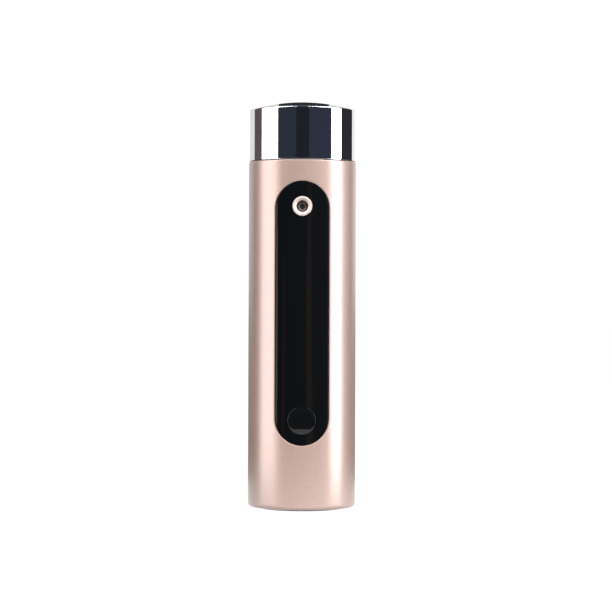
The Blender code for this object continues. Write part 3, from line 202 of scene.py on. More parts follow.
def pill(half_width: float, low: float, high: float, arc_steps: int, shares: np.ndarray) -> np.ndarray:
    """An upright slot's outline: half circles over and under two straight sides.

    It starts at the right end of the upper half circle and runs over the top, down the left,
    under the bottom and up the right.

    Args:
        half_width: half of the slot's width, and its ends' radius.
        low: the slot's lowest point.
        high: the slot's highest point.
        arc_steps: steps in each half circle.
        shares: where the sides' points lie, from 0 at their tops to 1 at their feet.

    Returns:
        The outline's (x, z) rows.
    """
    top, foot = high - half_width, low + half_width
    a = np.linspace(0.0, math.pi, arc_steps + 1)
    heights = top + (foot - top) * shares
    over = np.stack([half_width * np.cos(a), top + half_width * np.sin(a)], axis=1)
    under = np.stack([-half_width * np.cos(a), foot - half_width * np.sin(a)], axis=1)
    left = np.stack([np.full_like(heights, -half_width), heights], axis=1)
    right = np.stack([np.full_like(heights, half_width), heights[::-1]], axis=1)
    return np.concatenate([over[:-1], left[:-1], under[:-1], right[:-1]])


def on_barrel(flat: np.ndarray, radius: float, sink: float = 0.0) -> np.ndarray:
    """Flat points laid on the front of an upright barrel: y = -sqrt(r^2 - x^2) + sink.

    Args:
        flat: points whose last axis is (x, z).
        radius: the barrel's radius.
        sink: how far back the points are pushed, straight along Y.

    Returns:
        The points in space.
    """
    x, z = flat[..., 0], flat[..., 1]
    return np.stack([x, sink - np.sqrt(np.maximum(radius**2 - x**2, 0.0)), z], axis=-1)


def between(inner: np.ndarray, outer: np.ndarray, shares: np.ndarray) -> np.ndarray:
    """A grid that runs straight from one loop to another: P = inner + t (outer - inner).

    Args:
        inner: the first loop's points.
        outer: the last loop's points, as many.
        shares: the rows' t, from 0 to 1.

    Returns:
        A grid of points, one t by one loop point.
    """
    return inner[None] + (outer - inner)[None] * shares[:, None, None]


def eased(steps: int) -> np.ndarray:
    """Shares from 0 to 1 that start and end with short steps, to hold the surface at both edges.

    Args:
        steps: how many even steps lie between the short ones.

    Returns:
        The shares.
    """
    short = np.array([0.0, 0.004, 0.015])
    return np.concatenate([short, np.linspace(0.04, 0.96, steps), 1.0 - short[::-1]])


class Skin:
    """Grids of points that are welded into one closed mesh."""

    def __init__(self) -> None:
        """Starts with no grids."""
        self._points: list[np.ndarray] = []
        self._quads: list[np.ndarray] = []
        self._count = 0

    def add(self, grid: np.ndarray, closed: bool = True) -> "Skin":
        """Adds a grid of points and the four-sided faces between them.

        Args:
            grid: the points, rows by columns by 3.
            closed: whether the last column meets the first.

        Returns:
            The skin itself, so that calls can follow one another.
        """
        rows, columns = grid.shape[:2]
        index = self._count + np.arange(rows * columns).reshape(rows, columns)
        here = index if closed else index[:, :-1]
        beside = np.roll(index, -1, axis=1) if closed else index[:, 1:]
        quads = np.stack([here[:-1], beside[:-1], beside[1:], here[1:]], axis=-1)
        self._points.append(grid.reshape(-1, 3))
        self._quads.append(quads.reshape(-1, 4))
        self._count += rows * columns
        return self

    def build(self, name: str, turn: Turn = Turn.CRISP) -> bpy.types.Object:
        """Welds the grids, turns every face outwards and makes the object.

        Args:
            name: the piece's name.
            turn: how sharp an edge stays crisp.

        Returns:
            The new object, in the scene.
        """
        points, quads = np.concatenate(self._points), np.concatenate(self._quads)
        mesh = bpy.data.meshes.new(name)
        mesh.vertices.add(len(points))
        mesh.vertices.foreach_set("co", points.astype(np.float32).ravel())
        mesh.loops.add(quads.size)
        mesh.loops.foreach_set("vertex_index", quads.astype(np.int32).ravel())
        mesh.polygons.add(len(quads))
        mesh.polygons.foreach_set("loop_start", np.arange(0, quads.size, 4, dtype=np.int32))
        mesh.update(calc_edges=True)
        shape = bmesh.new()
        shape.from_mesh(mesh)
        bmesh.ops.remove_doubles(shape, verts=shape.verts, dist=WELD)
        bmesh.ops.dissolve_degenerate(shape, edges=shape.edges, dist=WELD / 10)
        bmesh.ops.recalc_face_normals(shape, faces=shape.faces)
        shape.to_mesh(mesh)
        shape.free()
        mesh.shade_smooth()
        mesh.set_sharp_from_angle(angle=math.radians(turn.value))
        made = bpy.data.objects.new(name, mesh)
        bpy.context.scene.collection.objects.link(made)
        return made


# ---------------------------------------------------------------- finishes


Triple = tuple[float, float, float]


class Nodes:
    """A short way to lay out one material's nodes."""

    def __init__(self, name: str) -> None:
        """Makes an empty material with a Principled shader.

        Args:
            name: the material's name.
        """
        self.material = bpy.data.materials.new(name)
        self.material.use_nodes = True
        self._tree = self.material.node_tree
        self.shader = self._tree.nodes["Principled BSDF"]
        self._place = self._tree.nodes.new("ShaderNodeTexCoord").outputs["Object"]

    def new(self, kind: str, **settings: object) -> bpy.types.Node:
        """Adds a node.

        Args:
            kind: the node's type.
            settings: properties to set on it.

        Returns:
            The node.
        """
        node = self._tree.nodes.new(kind)
        for key, value in settings.items():
            setattr(node, key, value)
        return node

    def link(self, source: bpy.types.NodeSocket, target: bpy.types.NodeSocket) -> None:
        """Joins an output socket to an input socket."""
        self._tree.links.new(source, target)

    def stretched(self, scale: Triple) -> bpy.types.NodeSocket:
        """The piece's own coordinates, scaled along each axis.

        Args:
            scale: the three factors.

        Returns:
            The scaled coordinates' socket.
        """
        node = self.new("ShaderNodeMapping")
        node.inputs["Scale"].default_value = scale
        self.link(self._place, node.inputs["Vector"])
        return node.outputs["Vector"]

    def noise(self, per_metre: float, detail: float = 3.0, scale: Triple = (1, 1, 1)) -> bpy.types.NodeSocket:
        """Cloudy noise.

        Args:
            per_metre: how many clouds lie in a metre.
            detail: how much finer noise is laid over it.
            scale: factors that stretch it along each axis.

        Returns:
            The noise's value.
        """
        node = self.new("ShaderNodeTexNoise")
        node.inputs["Scale"].default_value = per_metre
        node.inputs["Detail"].default_value = detail
        self.link(self.stretched(scale), node.inputs["Vector"])
        return node.outputs["Fac"]

    def cells(self, per_metre: float, feature: str = "F1", output: str = "Distance") -> bpy.types.NodeSocket:
        """A pattern of cells.

        Args:
            per_metre: how many cells lie in a metre.
            feature: the cell measure.
            output: which of its outputs to use.

        Returns:
            The pattern's socket.
        """
        node = self.new("ShaderNodeTexVoronoi", feature=feature)
        node.inputs["Scale"].default_value = per_metre
        self.link(self._place, node.inputs["Vector"])
        return node.outputs[output]

    def bands(self, per_metre: float, axis: str) -> bpy.types.NodeSocket:
        """Even bands along one axis.

        Args:
            per_metre: how many bands lie in a metre, times about a third.
            axis: X, Y or Z.

        Returns:
            The bands' value.
        """
        node = self.new("ShaderNodeTexWave", wave_type="BANDS", bands_direction=axis)
        node.inputs["Scale"].default_value = per_metre
        self.link(self._place, node.inputs["Vector"])
        return node.outputs["Fac"]

    def ramp(
        self, value: bpy.types.NodeSocket, low: float, high: float, stops: tuple
    ) -> bpy.types.NodeSocket:
        """Blends between two colours, or between two numbers, as a value runs from low to high.

        Args:
            value: the value that drives it.
            low: the value that gives the first stop.
            high: the value that gives the second.
            stops: two colours of three numbers, or two numbers.

        Returns:
            The blended socket.
        """
        spread = self.new("ShaderNodeMapRange")
        spread.inputs["From Min"].default_value = low
        spread.inputs["From Max"].default_value = high
        self.link(value, spread.inputs["Value"])
        if isinstance(stops[0], (int, float)):
            spread.inputs["To Min"].default_value = stops[0]
            spread.inputs["To Max"].default_value = stops[1]
            return spread.outputs["Result"]
        mix = self.new("ShaderNodeMix", data_type="RGBA")
        mix.inputs[6].default_value = (*stops[0], 1.0)
        mix.inputs[7].default_value = (*stops[1], 1.0)
        self.link(spread.outputs["Result"], mix.inputs[0])
        return mix.outputs[2]

    def colour(self, socket: bpy.types.NodeSocket) -> None:
        """Uses a socket as the base colour."""
        self.link(socket, self.shader.inputs["Base Color"])

    def roughness(self, socket: bpy.types.NodeSocket) -> None:
        """Uses a socket as the roughness."""
        self.link(socket, self.shader.inputs["Roughness"])

    def bump(self, height: bpy.types.NodeSocket, strength: float, distance: float) -> None:
        """Raises the surface by a height pattern.

        Args:
            height: the pattern.
            strength: how much of it shows.
            distance: how high its peaks are, in metres.
        """
        node = self.new("ShaderNodeBump")
        node.inputs["Strength"].default_value = strength
        node.inputs["Distance"].default_value = distance
        self.link(height, node.inputs["Height"])
        self.link(node.outputs["Normal"], self.shader.inputs["Normal"])

    def set(self, **values: object) -> None:
        """Sets the shader's own sockets, with _ in a name for a space."""
        for key, value in values.items():
            self.shader.inputs[key.replace("_", " ")].default_value = value


Colour = Triple


@dataclass(frozen=True)
class Finish:
    """A moulded or cast finish: cloudy colour, cloudy gloss and a fine grain."""

    name: str
    dark: Colour
    light: Colour
    gloss: tuple[float, float] = (0.35, 0.45)
    metallic: float = 0.0
    clouds: float = 120.0
    grain: float = 9000.0
    grain_height: float = 0.01 * MM
    coat: float = 0.0

    def material(self) -> bpy.types.Material:
        """Lays out the finish.

        Returns:
            The new material.
        """
        nodes = Nodes(self.name)
        nodes.colour(nodes.ramp(nodes.noise(self.clouds), 0.35, 0.65, (self.dark, self.light)))
        nodes.roughness(nodes.ramp(nodes.noise(4 * self.clouds), 0.35, 0.65, self.gloss))
        nodes.bump(nodes.noise(self.grain, 1.0), 0.25, self.grain_height)
        nodes.set(Metallic=self.metallic, Coat_Weight=self.coat, Coat_Roughness=0.03)
        self.detail(nodes)
        return nodes.material

    def detail(self, nodes: Nodes) -> None:
        """Adds what only this finish has, which is nothing for a plain one."""


@dataclass(frozen=True)
class SatinLacquer(Finish):
    """Metallic lacquer: tiny flakes that differ in tone and tilt under a satin surface."""

    flakes: float = 7000.0
    flake_height: float = 0.012 * MM

    def detail(self, nodes: Nodes) -> None:
        """Adds the flakes, as cells that each have their own tone and gloss.

        Args:
            nodes: the material so far.
        """
        cells = nodes.cells(self.flakes, output="Color")
        tone = nodes.new("ShaderNodeSeparateColor")
        nodes.link(cells, tone.inputs["Color"])
        nodes.colour(nodes.ramp(tone.outputs["Red"], 0.0, 1.0, (self.dark, self.light)))
        nodes.roughness(nodes.ramp(tone.outputs["Green"], 0.0, 1.0, self.gloss))
        nodes.bump(nodes.noise(self.flakes, 2.0), 0.5, self.flake_height)
        nodes.set(Coat_IOR=1.8, Coat_Roughness=0.27)


@dataclass(frozen=True)
class Polished(Finish):
    """A mirror metal with faint wipe marks."""

    def detail(self, nodes: Nodes) -> None:
        """Adds wipe marks to the gloss, drawn out along the height."""
        wipes = nodes.noise(90.0, 4.0, (1.0, 1.0, 0.25))
        nodes.roughness(nodes.ramp(wipes, 0.4, 0.75, self.gloss))


@dataclass(frozen=True)
class SmokedGloss(Polished):
    """A glossy dark lens with faint warm streaks painted into its colour, drawn out along the height: a
    painted reflection.
    """

    # painted reflection: the warm colour of the streaks that are laid into the black
    painted_reflection_tint: Colour = (0.012, 0.0085, 0.0075)

    def detail(self, nodes: Nodes) -> None:
        """Adds the painted reflection streaks to the colour and the wipe marks to the gloss.

        Args:
            nodes: the material so far.
        """
        super().detail(nodes)
        # painted reflection: upright warm streaks blended into the base colour
        painted_reflection_streaks = nodes.noise(420.0, 2.0, (1.0, 1.0, 0.012))
        nodes.colour(nodes.ramp(painted_reflection_streaks, 0.52, 0.66, (self.dark, self.painted_reflection_tint)))
        nodes.set(Specular_IOR_Level=0.2)


@dataclass(frozen=True)
class Brushed(Finish):
    """A metal brushed along one axis."""

    along: Triple = (1.0, 1.0, 0.03)

    def detail(self, nodes: Nodes) -> None:
        """Adds fine lines to the gloss and the height.

        Args:
            nodes: the material so far.
        """
        lines = nodes.noise(6000.0, 3.0, self.along)
        nodes.roughness(nodes.ramp(lines, 0.3, 0.7, self.gloss))
        nodes.bump(lines, 0.15, self.grain_height)


@dataclass(frozen=True)
class Wound(Finish):
    """Enamelled wire wound in even turns."""

    axis: str = "Z"

    def detail(self, nodes: Nodes) -> None:
        """Adds a ridge for each turn, and painted shade that darkens the colour in the crease between turns.

        Args:
            nodes: the material so far.
        """
        turns = nodes.bands(800.0, self.axis)
        # painted shade: the colour darkens where the bump is low, between turns
        nodes.colour(nodes.ramp(turns, 0.1, 0.8, (self.dark, self.light)))
        nodes.bump(turns, 0.6, 0.1 * MM)


@dataclass(frozen=True)
class SolderMask(Finish):
    """A circuit board: green mask over a maze of copper tracks."""

    def detail(self, nodes: Nodes) -> None:
        """Adds the tracks, as raised lighter lines.

        Args:
            nodes: the material so far.
        """
        tracks = nodes.cells(420.0, "DISTANCE_TO_EDGE")
        nodes.colour(nodes.ramp(tracks, 0.06, 0.1, (self.light, self.dark)))
        nodes.bump(nodes.ramp(tracks, 0.06, 0.1, (1.0, 0.0)), 0.4, 0.03 * MM)


FINISHES: dict[str, Finish] = {
    "rose_gold_satin": SatinLacquer(
        "rose_gold_satin", (0.64, 0.435, 0.37), (0.77, 0.55, 0.48), (0.32, 0.42), metallic=0.33, coat=0.85
    ),
    "chrome_plate": Polished(
        "chrome_plate", (0.82, 0.83, 0.86), (0.86, 0.87, 0.89), (0.025, 0.06), 1.0, grain_height=0.0
    ),
    "panel_black": SmokedGloss(
        "panel_black", (0.0045, 0.0055, 0.0065), (0.006, 0.0065, 0.0075), (0.04, 0.09), grain_height=0.0
    ),
    "button_black": Polished(
        "button_black", (0.004, 0.0045, 0.005), (0.007, 0.0075, 0.008), (0.06, 0.12), grain_height=0.0
    ),
    "ring_rose_gold": Brushed(
        "ring_rose_gold",
        (0.90, 0.72, 0.65),
        (0.97, 0.82, 0.76),
        (0.22, 0.34),
        0.15,
        coat=0.6,
        along=(1, 0.05, 1),
    ),
    "stainless_steel": Brushed(
        "stainless_steel", (0.62, 0.62, 0.62), (0.72, 0.72, 0.71), (0.14, 0.26), 1.0, along=(0.03, 1, 1)
    ),
    "zinc_steel": Brushed("zinc_steel", (0.48, 0.48, 0.50), (0.62, 0.62, 0.64), (0.25, 0.4), 1.0),
    "liner_white": Finish("liner_white", (0.74, 0.74, 0.72), (0.82, 0.82, 0.80)),
    "collar_white": Finish("collar_white", (0.72, 0.70, 0.67), (0.80, 0.78, 0.75), (0.3, 0.4)),
    "frame_grey": Finish("frame_grey", (0.16, 0.165, 0.18), (0.21, 0.215, 0.23), (0.5, 0.62)),
    "silicone": Finish("silicone", (0.30, 0.29, 0.29), (0.38, 0.37, 0.37), (0.5, 0.62), clouds=300.0),
    "foot_rubber": Finish(
        "foot_rubber", (0.035, 0.020, 0.016), (0.055, 0.033, 0.028), (0.65, 0.8), grain=5000.0
    ),
    "tank_clear": Finish("tank_clear", (0.62, 0.68, 0.72), (0.72, 0.78, 0.82), (0.08, 0.14), coat=0.4),
    "piezo_ceramic": Finish("piezo_ceramic", (0.60, 0.53, 0.38), (0.74, 0.67, 0.52), (0.45, 0.6)),
    "cell_wrap": Finish("cell_wrap", (0.02, 0.11, 0.26), (0.03, 0.15, 0.34), (0.25, 0.35), coat=0.3),
    "nickel": Brushed("nickel", (0.55, 0.54, 0.50), (0.68, 0.67, 0.63), (0.2, 0.34), 1.0),
    "capacitor_can": Brushed("capacitor_can", (0.52, 0.52, 0.53), (0.64, 0.64, 0.65), (0.25, 0.4), 1.0),
    "board_green": SolderMask("board_green", (0.012, 0.09, 0.04), (0.03, 0.17, 0.08), (0.3, 0.42)),
    "chip_black": Finish("chip_black", (0.012, 0.012, 0.013), (0.022, 0.022, 0.024), (0.5, 0.62)),
    "ferrite": Finish("ferrite", (0.045, 0.045, 0.05), (0.08, 0.08, 0.085), (0.5, 0.7), grain=4000.0),
    "copper": Wound("copper", (0.36, 0.12, 0.05), (0.72, 0.34, 0.17), (0.25, 0.4), 0.9),
    "led_white": Finish("led_white", (0.74, 0.74, 0.62), (0.85, 0.85, 0.76), (0.2, 0.3), clouds=900.0),
    "wire_red": Finish("wire_red", (0.40, 0.02, 0.015), (0.52, 0.035, 0.025), clouds=500.0),
    "wire_black": Finish("wire_black", (0.014, 0.014, 0.015), (0.026, 0.026, 0.028), clouds=500.0),
    "wire_white": Finish("wire_white", (0.66, 0.66, 0.62), (0.76, 0.76, 0.72), clouds=500.0),
}


class Dresser:
    """Makes each finish once, puts it on pieces and reports them."""

    def __init__(self) -> None:
        """Starts with no materials."""
        self._made: dict[str, bpy.types.Material] = {}

    def material(self, slot: str) -> bpy.types.Material:
        """The material of a slot.

        Args:
            slot: the record's slot name.

        Returns:
            The material, made on its first use.
        """
        if slot not in self._made:
            self._made[slot] = FINISHES[slot].material()
        return self._made[slot]

    def dress(self, piece: bpy.types.Object, slot: str, body: Body, *nodes: str) -> bpy.types.Object:
        """Gives a new piece its finish, the body it rides on and the frame nodes it stands for.

        Args:
            piece: the new piece.
            slot: the record's slot name.
            body: the body that it moves with.
            nodes: the frame nodes that it replaces.

        Returns:
            The piece.
        """
        piece.data.materials.clear()
        piece.data.materials.append(self.material(slot))
        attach(piece, body.value)
        if nodes:
            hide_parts(*nodes)
        LOG.info("%s: %d faces, finish %s", piece.name, len(piece.data.polygons), slot)
        return piece

    def dress_frame(self) -> None:
        """Gives every frame node its slot's finish."""
        for entry in frame["record"]["subparts"]:
            mesh = frame["nodes"][entry["node"]].data
            mesh.materials.clear()
            mesh.materials.append(self.material(entry["material_slot"]))


# ---------------------------------------------------------------- handle


@dataclass
class Handle:
    """The sleeve with its window, and the black panel in it."""

    sleeve: Extent = field(default_factory=lambda: Extent.of("body_sleeve"))
    panel: Extent = field(default_factory=lambda: Extent.of("front_panel"))
    button: Extent = field(default_factory=lambda: Extent.of("power_button"))
    nozzle: Extent = field(default_factory=lambda: Extent.of("nozzle_ring"))
    base: Extent = field(default_factory=lambda: Extent.of("base_plate"))
    wall: float = 1.2 * MM
    flange: float = 1.1 * MM
    flange_wall: float = 0.9 * MM
    gap: float = 0.2 * MM
    panel_sink: float = 0.25 * MM
    window_edge: float = 0.38 * MM
    panel_edge: float = 0.12 * MM
    hole_edge: float = 0.14 * MM
    top_edge: float = 0.32 * MM
    foot_edge: float = 2.6 * MM
    lip_gap: float = 0.3 * MM
    lip_rise: float = 0.8 * MM
    lip_width: float = 1.7 * MM
    flange_gap: float = 0.3 * MM
    button_flange: float = 0.85 * MM
    pocket_gap: float = 0.6 * MM
    pocket_depth: float = 2.63 * MM
    seat_depth: float = 0.78 * MM
    seat_step: float = 0.4 * MM
    stack_gap: float = 0.3 * MM
    arc_steps: int = 144
    side_steps: int = 96
    cut_steps: int = 8

    @property
    def side_shares(self) -> np.ndarray:
        """Returns where the outline's side points lie, from 0 at their tops to 1 at their feet."""
        return np.linspace(0.0, 1.0, self.side_steps + 1)

    @property
    def half_width(self) -> float:
        """Returns half of the window's width."""
        return self.panel.radius - self.flange

    def outline(self, grow: float) -> np.ndarray:
        """The window's outline, grown evenly.

        Args:
            grow: how far it is grown, or drawn in if negative.

        Returns:
            The outline's (x, z) rows.
        """
        low = self.panel.low.z + self.flange - grow
        high = self.panel.high.z - self.flange + grow
        return pill(self.half_width + grow, low, high, self.arc_steps, self.side_shares)

    def border(self, radius: float, low: float, high: float) -> np.ndarray:
        """The sleeve's border unrolled, point for point with the outline.

        Args:
            radius: the barrel's radius.
            low: the lower border's height.
            high: the upper border's height.

        Returns:
            (angle times radius, height) rows.
        """
        round_way = math.pi * radius * np.linspace(1.0, -1.0, self.arc_steps + 1)
        heights = high + (low - high) * self.side_shares
        top = np.stack([round_way, np.full_like(round_way, high)], axis=1)
        under = np.stack([-round_way, np.full_like(round_way, low)], axis=1)
        left = np.stack([np.full_like(heights, -math.pi * radius), heights], axis=1)
        right = np.stack([np.full_like(heights, math.pi * radius), heights[::-1]], axis=1)
        return np.concatenate([top[:-1], left[:-1], under[:-1], right[:-1]])

    def wrapped(self, radius: float, grow: float, low: float, high: float, shares: np.ndarray) -> np.ndarray:
        """The barrel's surface from the window's outline out to its border.

        Unrolled, each row is outline + t (border - outline). It is rolled up again by
        x = r sin(s / r), y = -r cos(s / r).

        Args:
            radius: the barrel's radius.
            grow: how far the outline is grown.
            low: the lower border's height.
            high: the upper border's height.
            shares: the rows' t.

        Returns:
            The grid of points.
        """
        edge = self.outline(grow)
        unrolled = np.stack([radius * np.arcsin(edge[:, 0] / radius), edge[:, 1]], axis=1)
        flat = between(unrolled, self.border(radius, low, high), shares)
        angle = flat[..., 0] / radius
        return np.stack([radius * np.sin(angle), -radius * np.cos(angle), flat[..., 1]], axis=-1)

    def build_sleeve(self, dresser: Dresser) -> None:
        """The sleeve: barrel, rounded window edge, rolled foot and eased top edge.

        The window's edge is the curve (1-s)^2 of grow against s^2 of sink.

        Args:
            dresser: gives it its finish.
        """
        outer = self.sleeve.high.x
        bore = outer - self.wall
        low, top = self.sleeve.low.z, self.sleeve.high.z
        lip = self.base.high.x + self.lip_gap
        inner_lip = lip - self.lip_width
        upper = softened(
            [
                (outer, top - 3 * self.top_edge, 0.0),
                (outer, top, self.top_edge),
                (bore, top, 0.5 * self.top_edge),
                (bore, top - 3 * self.top_edge, 0.0),
            ]
        )
        lower = softened(
            [
                (outer, low + 1.5 * self.foot_edge, 0.0),
                (outer, low, self.foot_edge),
                (lip, low, 0.1 * MM),
                (lip, low + self.lip_rise, 0.0),
                (inner_lip, low + self.lip_rise, 0.0),
                (inner_lip, low + 2 * self.lip_rise, 0.0),
                (bore, low + 2 * self.lip_rise, 0.0),
                (bore, low + 1.5 * self.foot_edge, 0.0),
            ],
            steps=12,
        )
        high_z, low_z = top - 3 * self.top_edge, low + 1.5 * self.foot_edge
        out = self.wrapped(outer, self.window_edge, low_z, high_z, eased(52))
        back = self.wrapped(bore, 0.0, low_z, high_z, eased(24))
        s = np.linspace(0.0, 1.0, 9)
        edge = np.stack(
            [
                on_barrel(self.outline(self.window_edge * (1 - k) ** 2), outer, self.window_edge * k**2)
                for k in s
            ]
        )
        wall = np.stack([edge[-1], back[0]])
        angles = np.linspace(math.pi, -math.pi, self.arc_steps + 1)
        skin = Skin().add(out).add(edge).add(wall).add(back)
        skin.add(turned_grid(upper, angles), closed=False)
        skin.add(turned_grid(lower, -angles), closed=False)
        dresser.dress(skin.build("sleeve_skin", Turn.SOFT), "rose_gold_satin", Body.HANDLE, "body_sleeve")

    def cut_line(self, loop: np.ndarray, side: int, steps: int) -> np.ndarray:
        """A level line across an outline, at one of its side points.

        Args:
            loop: the outline.
            side: which side point, counted from the sides' tops.
            steps: how many steps the line takes.

        Returns:
            The line's (x, z) rows from left to right, both ends included.
        """
        left = loop[self.arc_steps + side]
        x = np.linspace(left[0], -left[0], steps + 1)
        return np.stack([x, np.full_like(x, left[1])], axis=1)

    def face(
        self, grow: float, radius: float, holes: dict[str, tuple[float, float]], cuts: tuple[int, int]
    ) -> tuple[list, dict]:
        """One face of the panel, in three parts: round each hole, and the plain stretch between.

        Args:
            grow: how far the outline is grown.
            radius: the barrel's radius.
            holes: the upper and lower holes' (height, radius).
            cuts: the side points where the plain stretch starts and ends.

        Returns:
            The face's (grid, closed) pairs, and the angles of each hole's points.
        """
        loop = self.outline(grow)
        count = len(loop)
        line_steps = 24
        upper_line = self.cut_line(loop, cuts[0], line_steps)
        lower_line = self.cut_line(loop, cuts[1], line_steps)
        start, end = self.arc_steps + cuts[0], self.arc_steps + cuts[1]
        upper = np.concatenate([loop[: start + 1], upper_line[1:-1], loop[count - cuts[0] :]])
        lower = np.concatenate([loop[end : count - cuts[1] + 1], lower_line[::-1][1:-1]])
        grids, angles = [], {}
        for name, outer in (("nozzle", upper), ("button", lower)):
            height, hole = holes[name]
            a = np.arctan2(outer[:, 1] - height, outer[:, 0])
            inner = np.stack([hole * np.cos(a), height + hole * np.sin(a)], axis=1)
            grids.append((on_barrel(between(inner, outer, eased(16)), radius), True))
            angles[name] = a
        shares = (self.side_shares[cuts[0] : cuts[1] + 1] - self.side_shares[cuts[0]]) / (
            self.side_shares[cuts[1]] - self.side_shares[cuts[0]]
        )
        grids.append((on_barrel(between(upper_line, lower_line, shares), radius), False))
        return grids, angles

    def hole_wall(
        self, a: np.ndarray, height: float, front: float, back: float, steps: list[tuple[float, float]]
    ) -> np.ndarray:
        """A hole's wall, from the rounded edge on the panel's face back to its rear face.

        Args:
            a: the angles of the hole's points.
            height: the hole's height.
            front: the barrel's radius at the face.
            back: the barrel's radius at the rear.
            steps: (radius, distance forwards) of the wall's corners, front first.

        Returns:
            The grid of points.
        """

        def around(radius: float) -> np.ndarray:
            """Returns the (x, z) rows of a circle round the hole's axis."""
            return np.stack([radius * np.cos(a), height + radius * np.sin(a)], axis=1)

        first = steps[0][0]
        rows = [
            on_barrel(around(first + self.hole_edge * (1 - k) ** 2), front, self.hole_edge * k**2)
            for k in np.linspace(0.0, 1.0, 6)
        ]
        for radius, forward in steps:
            ring = around(radius)
            rows.append(np.stack([ring[:, 0], np.full_like(a, -forward), ring[:, 1]], axis=1))
        rows.append(on_barrel(around(steps[-1][0]), back))
        return np.stack(rows)

    def build_panel(self, dresser: Dresser) -> None:
        """The panel: a glossy face with two holes, eased edges and a hidden flange.

        Args:
            dresser: gives it its finish.
        """
        outer = self.sleeve.high.x
        face_radius = outer - self.panel_sink
        flange_radius = outer - self.wall - self.flange_gap
        back_radius = flange_radius - self.flange_wall
        button_z, nozzle_z = self.button.centre.z, self.nozzle.centre.z
        button_hole = self.button.radius - self.button_flange + self.gap
        nozzle_hole = self.nozzle.radius + self.gap
        pocket = self.button.radius + self.pocket_gap
        stack = Extent.of("nozzle_seal_front")
        seat, stack_room = self.nozzle.front - self.seat_depth, stack.radius + self.stack_gap
        cuts = (self.cut_steps, self.side_steps - self.cut_steps)
        drawn_in = -self.gap - self.panel_edge
        holes = {
            "nozzle": (nozzle_z, nozzle_hole + self.hole_edge),
            "button": (button_z, button_hole + self.hole_edge),
        }
        grids, angles = self.face(drawn_in, face_radius, holes, cuts)
        rear_holes = {"nozzle": (nozzle_z, stack_room), "button": (button_z, pocket)}
        rear_grids, _ = self.face(self.flange, back_radius, rear_holes, cuts)
        skin = Skin()
        for grid, closed in grids:
            skin.add(grid, closed)
        edge = []
        for k in np.linspace(0.0, 1.0, 6):
            ring = self.outline(-self.gap - self.panel_edge * (1 - k) ** 2)
            edge.append(on_barrel(ring, face_radius, self.panel_edge * k**2))
        edge.append(on_barrel(self.outline(-self.gap), flange_radius))
        edge.append(on_barrel(self.outline(self.flange), flange_radius))
        edge.append(on_barrel(self.outline(self.flange), back_radius))
        skin.add(np.stack(edge))
        button_floor = self.button.front - self.pocket_depth
        button_steps = [(button_hole, button_floor), (pocket, button_floor)]
        skin.add(self.hole_wall(angles["button"], button_z, face_radius, back_radius, button_steps))
        tube = self.nozzle.radius - self.seat_step
        mouth = stack.front + self.stack_gap
        nozzle_steps = [(nozzle_hole, seat), (tube, seat), (tube, mouth), (stack_room, mouth)]
        skin.add(self.hole_wall(angles["nozzle"], nozzle_z, face_radius, back_radius, nozzle_steps))
        self._close_rear(skin, rear_grids, rear_holes, angles, back_radius)
        dresser.dress(skin.build("panel_skin"), "panel_black", Body.HANDLE, "front_panel")

    def _close_rear(self, skin: Skin, grids: list, holes: dict, angles: dict, radius: float) -> None:
        """Adds the rear face, with each hole's points at the same angles as its wall's.

        Args:
            skin: the panel so far.
            grids: the rear face's (grid, closed) pairs.
            holes: the upper and lower holes' (height, radius).
            angles: the angles of each hole's points.
            radius: the rear face's radius.
        """
        for (grid, _), name in zip(grids[:2], ("nozzle", "button")):
            height, hole = holes[name]
            a = angles[name]
            inner = np.stack([hole * np.cos(a), height + hole * np.sin(a)], axis=1)
            outer = np.stack([grid[-1][:, 0], grid[-1][:, 2]], axis=1)
            skin.add(on_barrel(between(inner, outer, np.linspace(0.0, 1.0, 8)), radius))
        skin.add(grids[2][0], False)


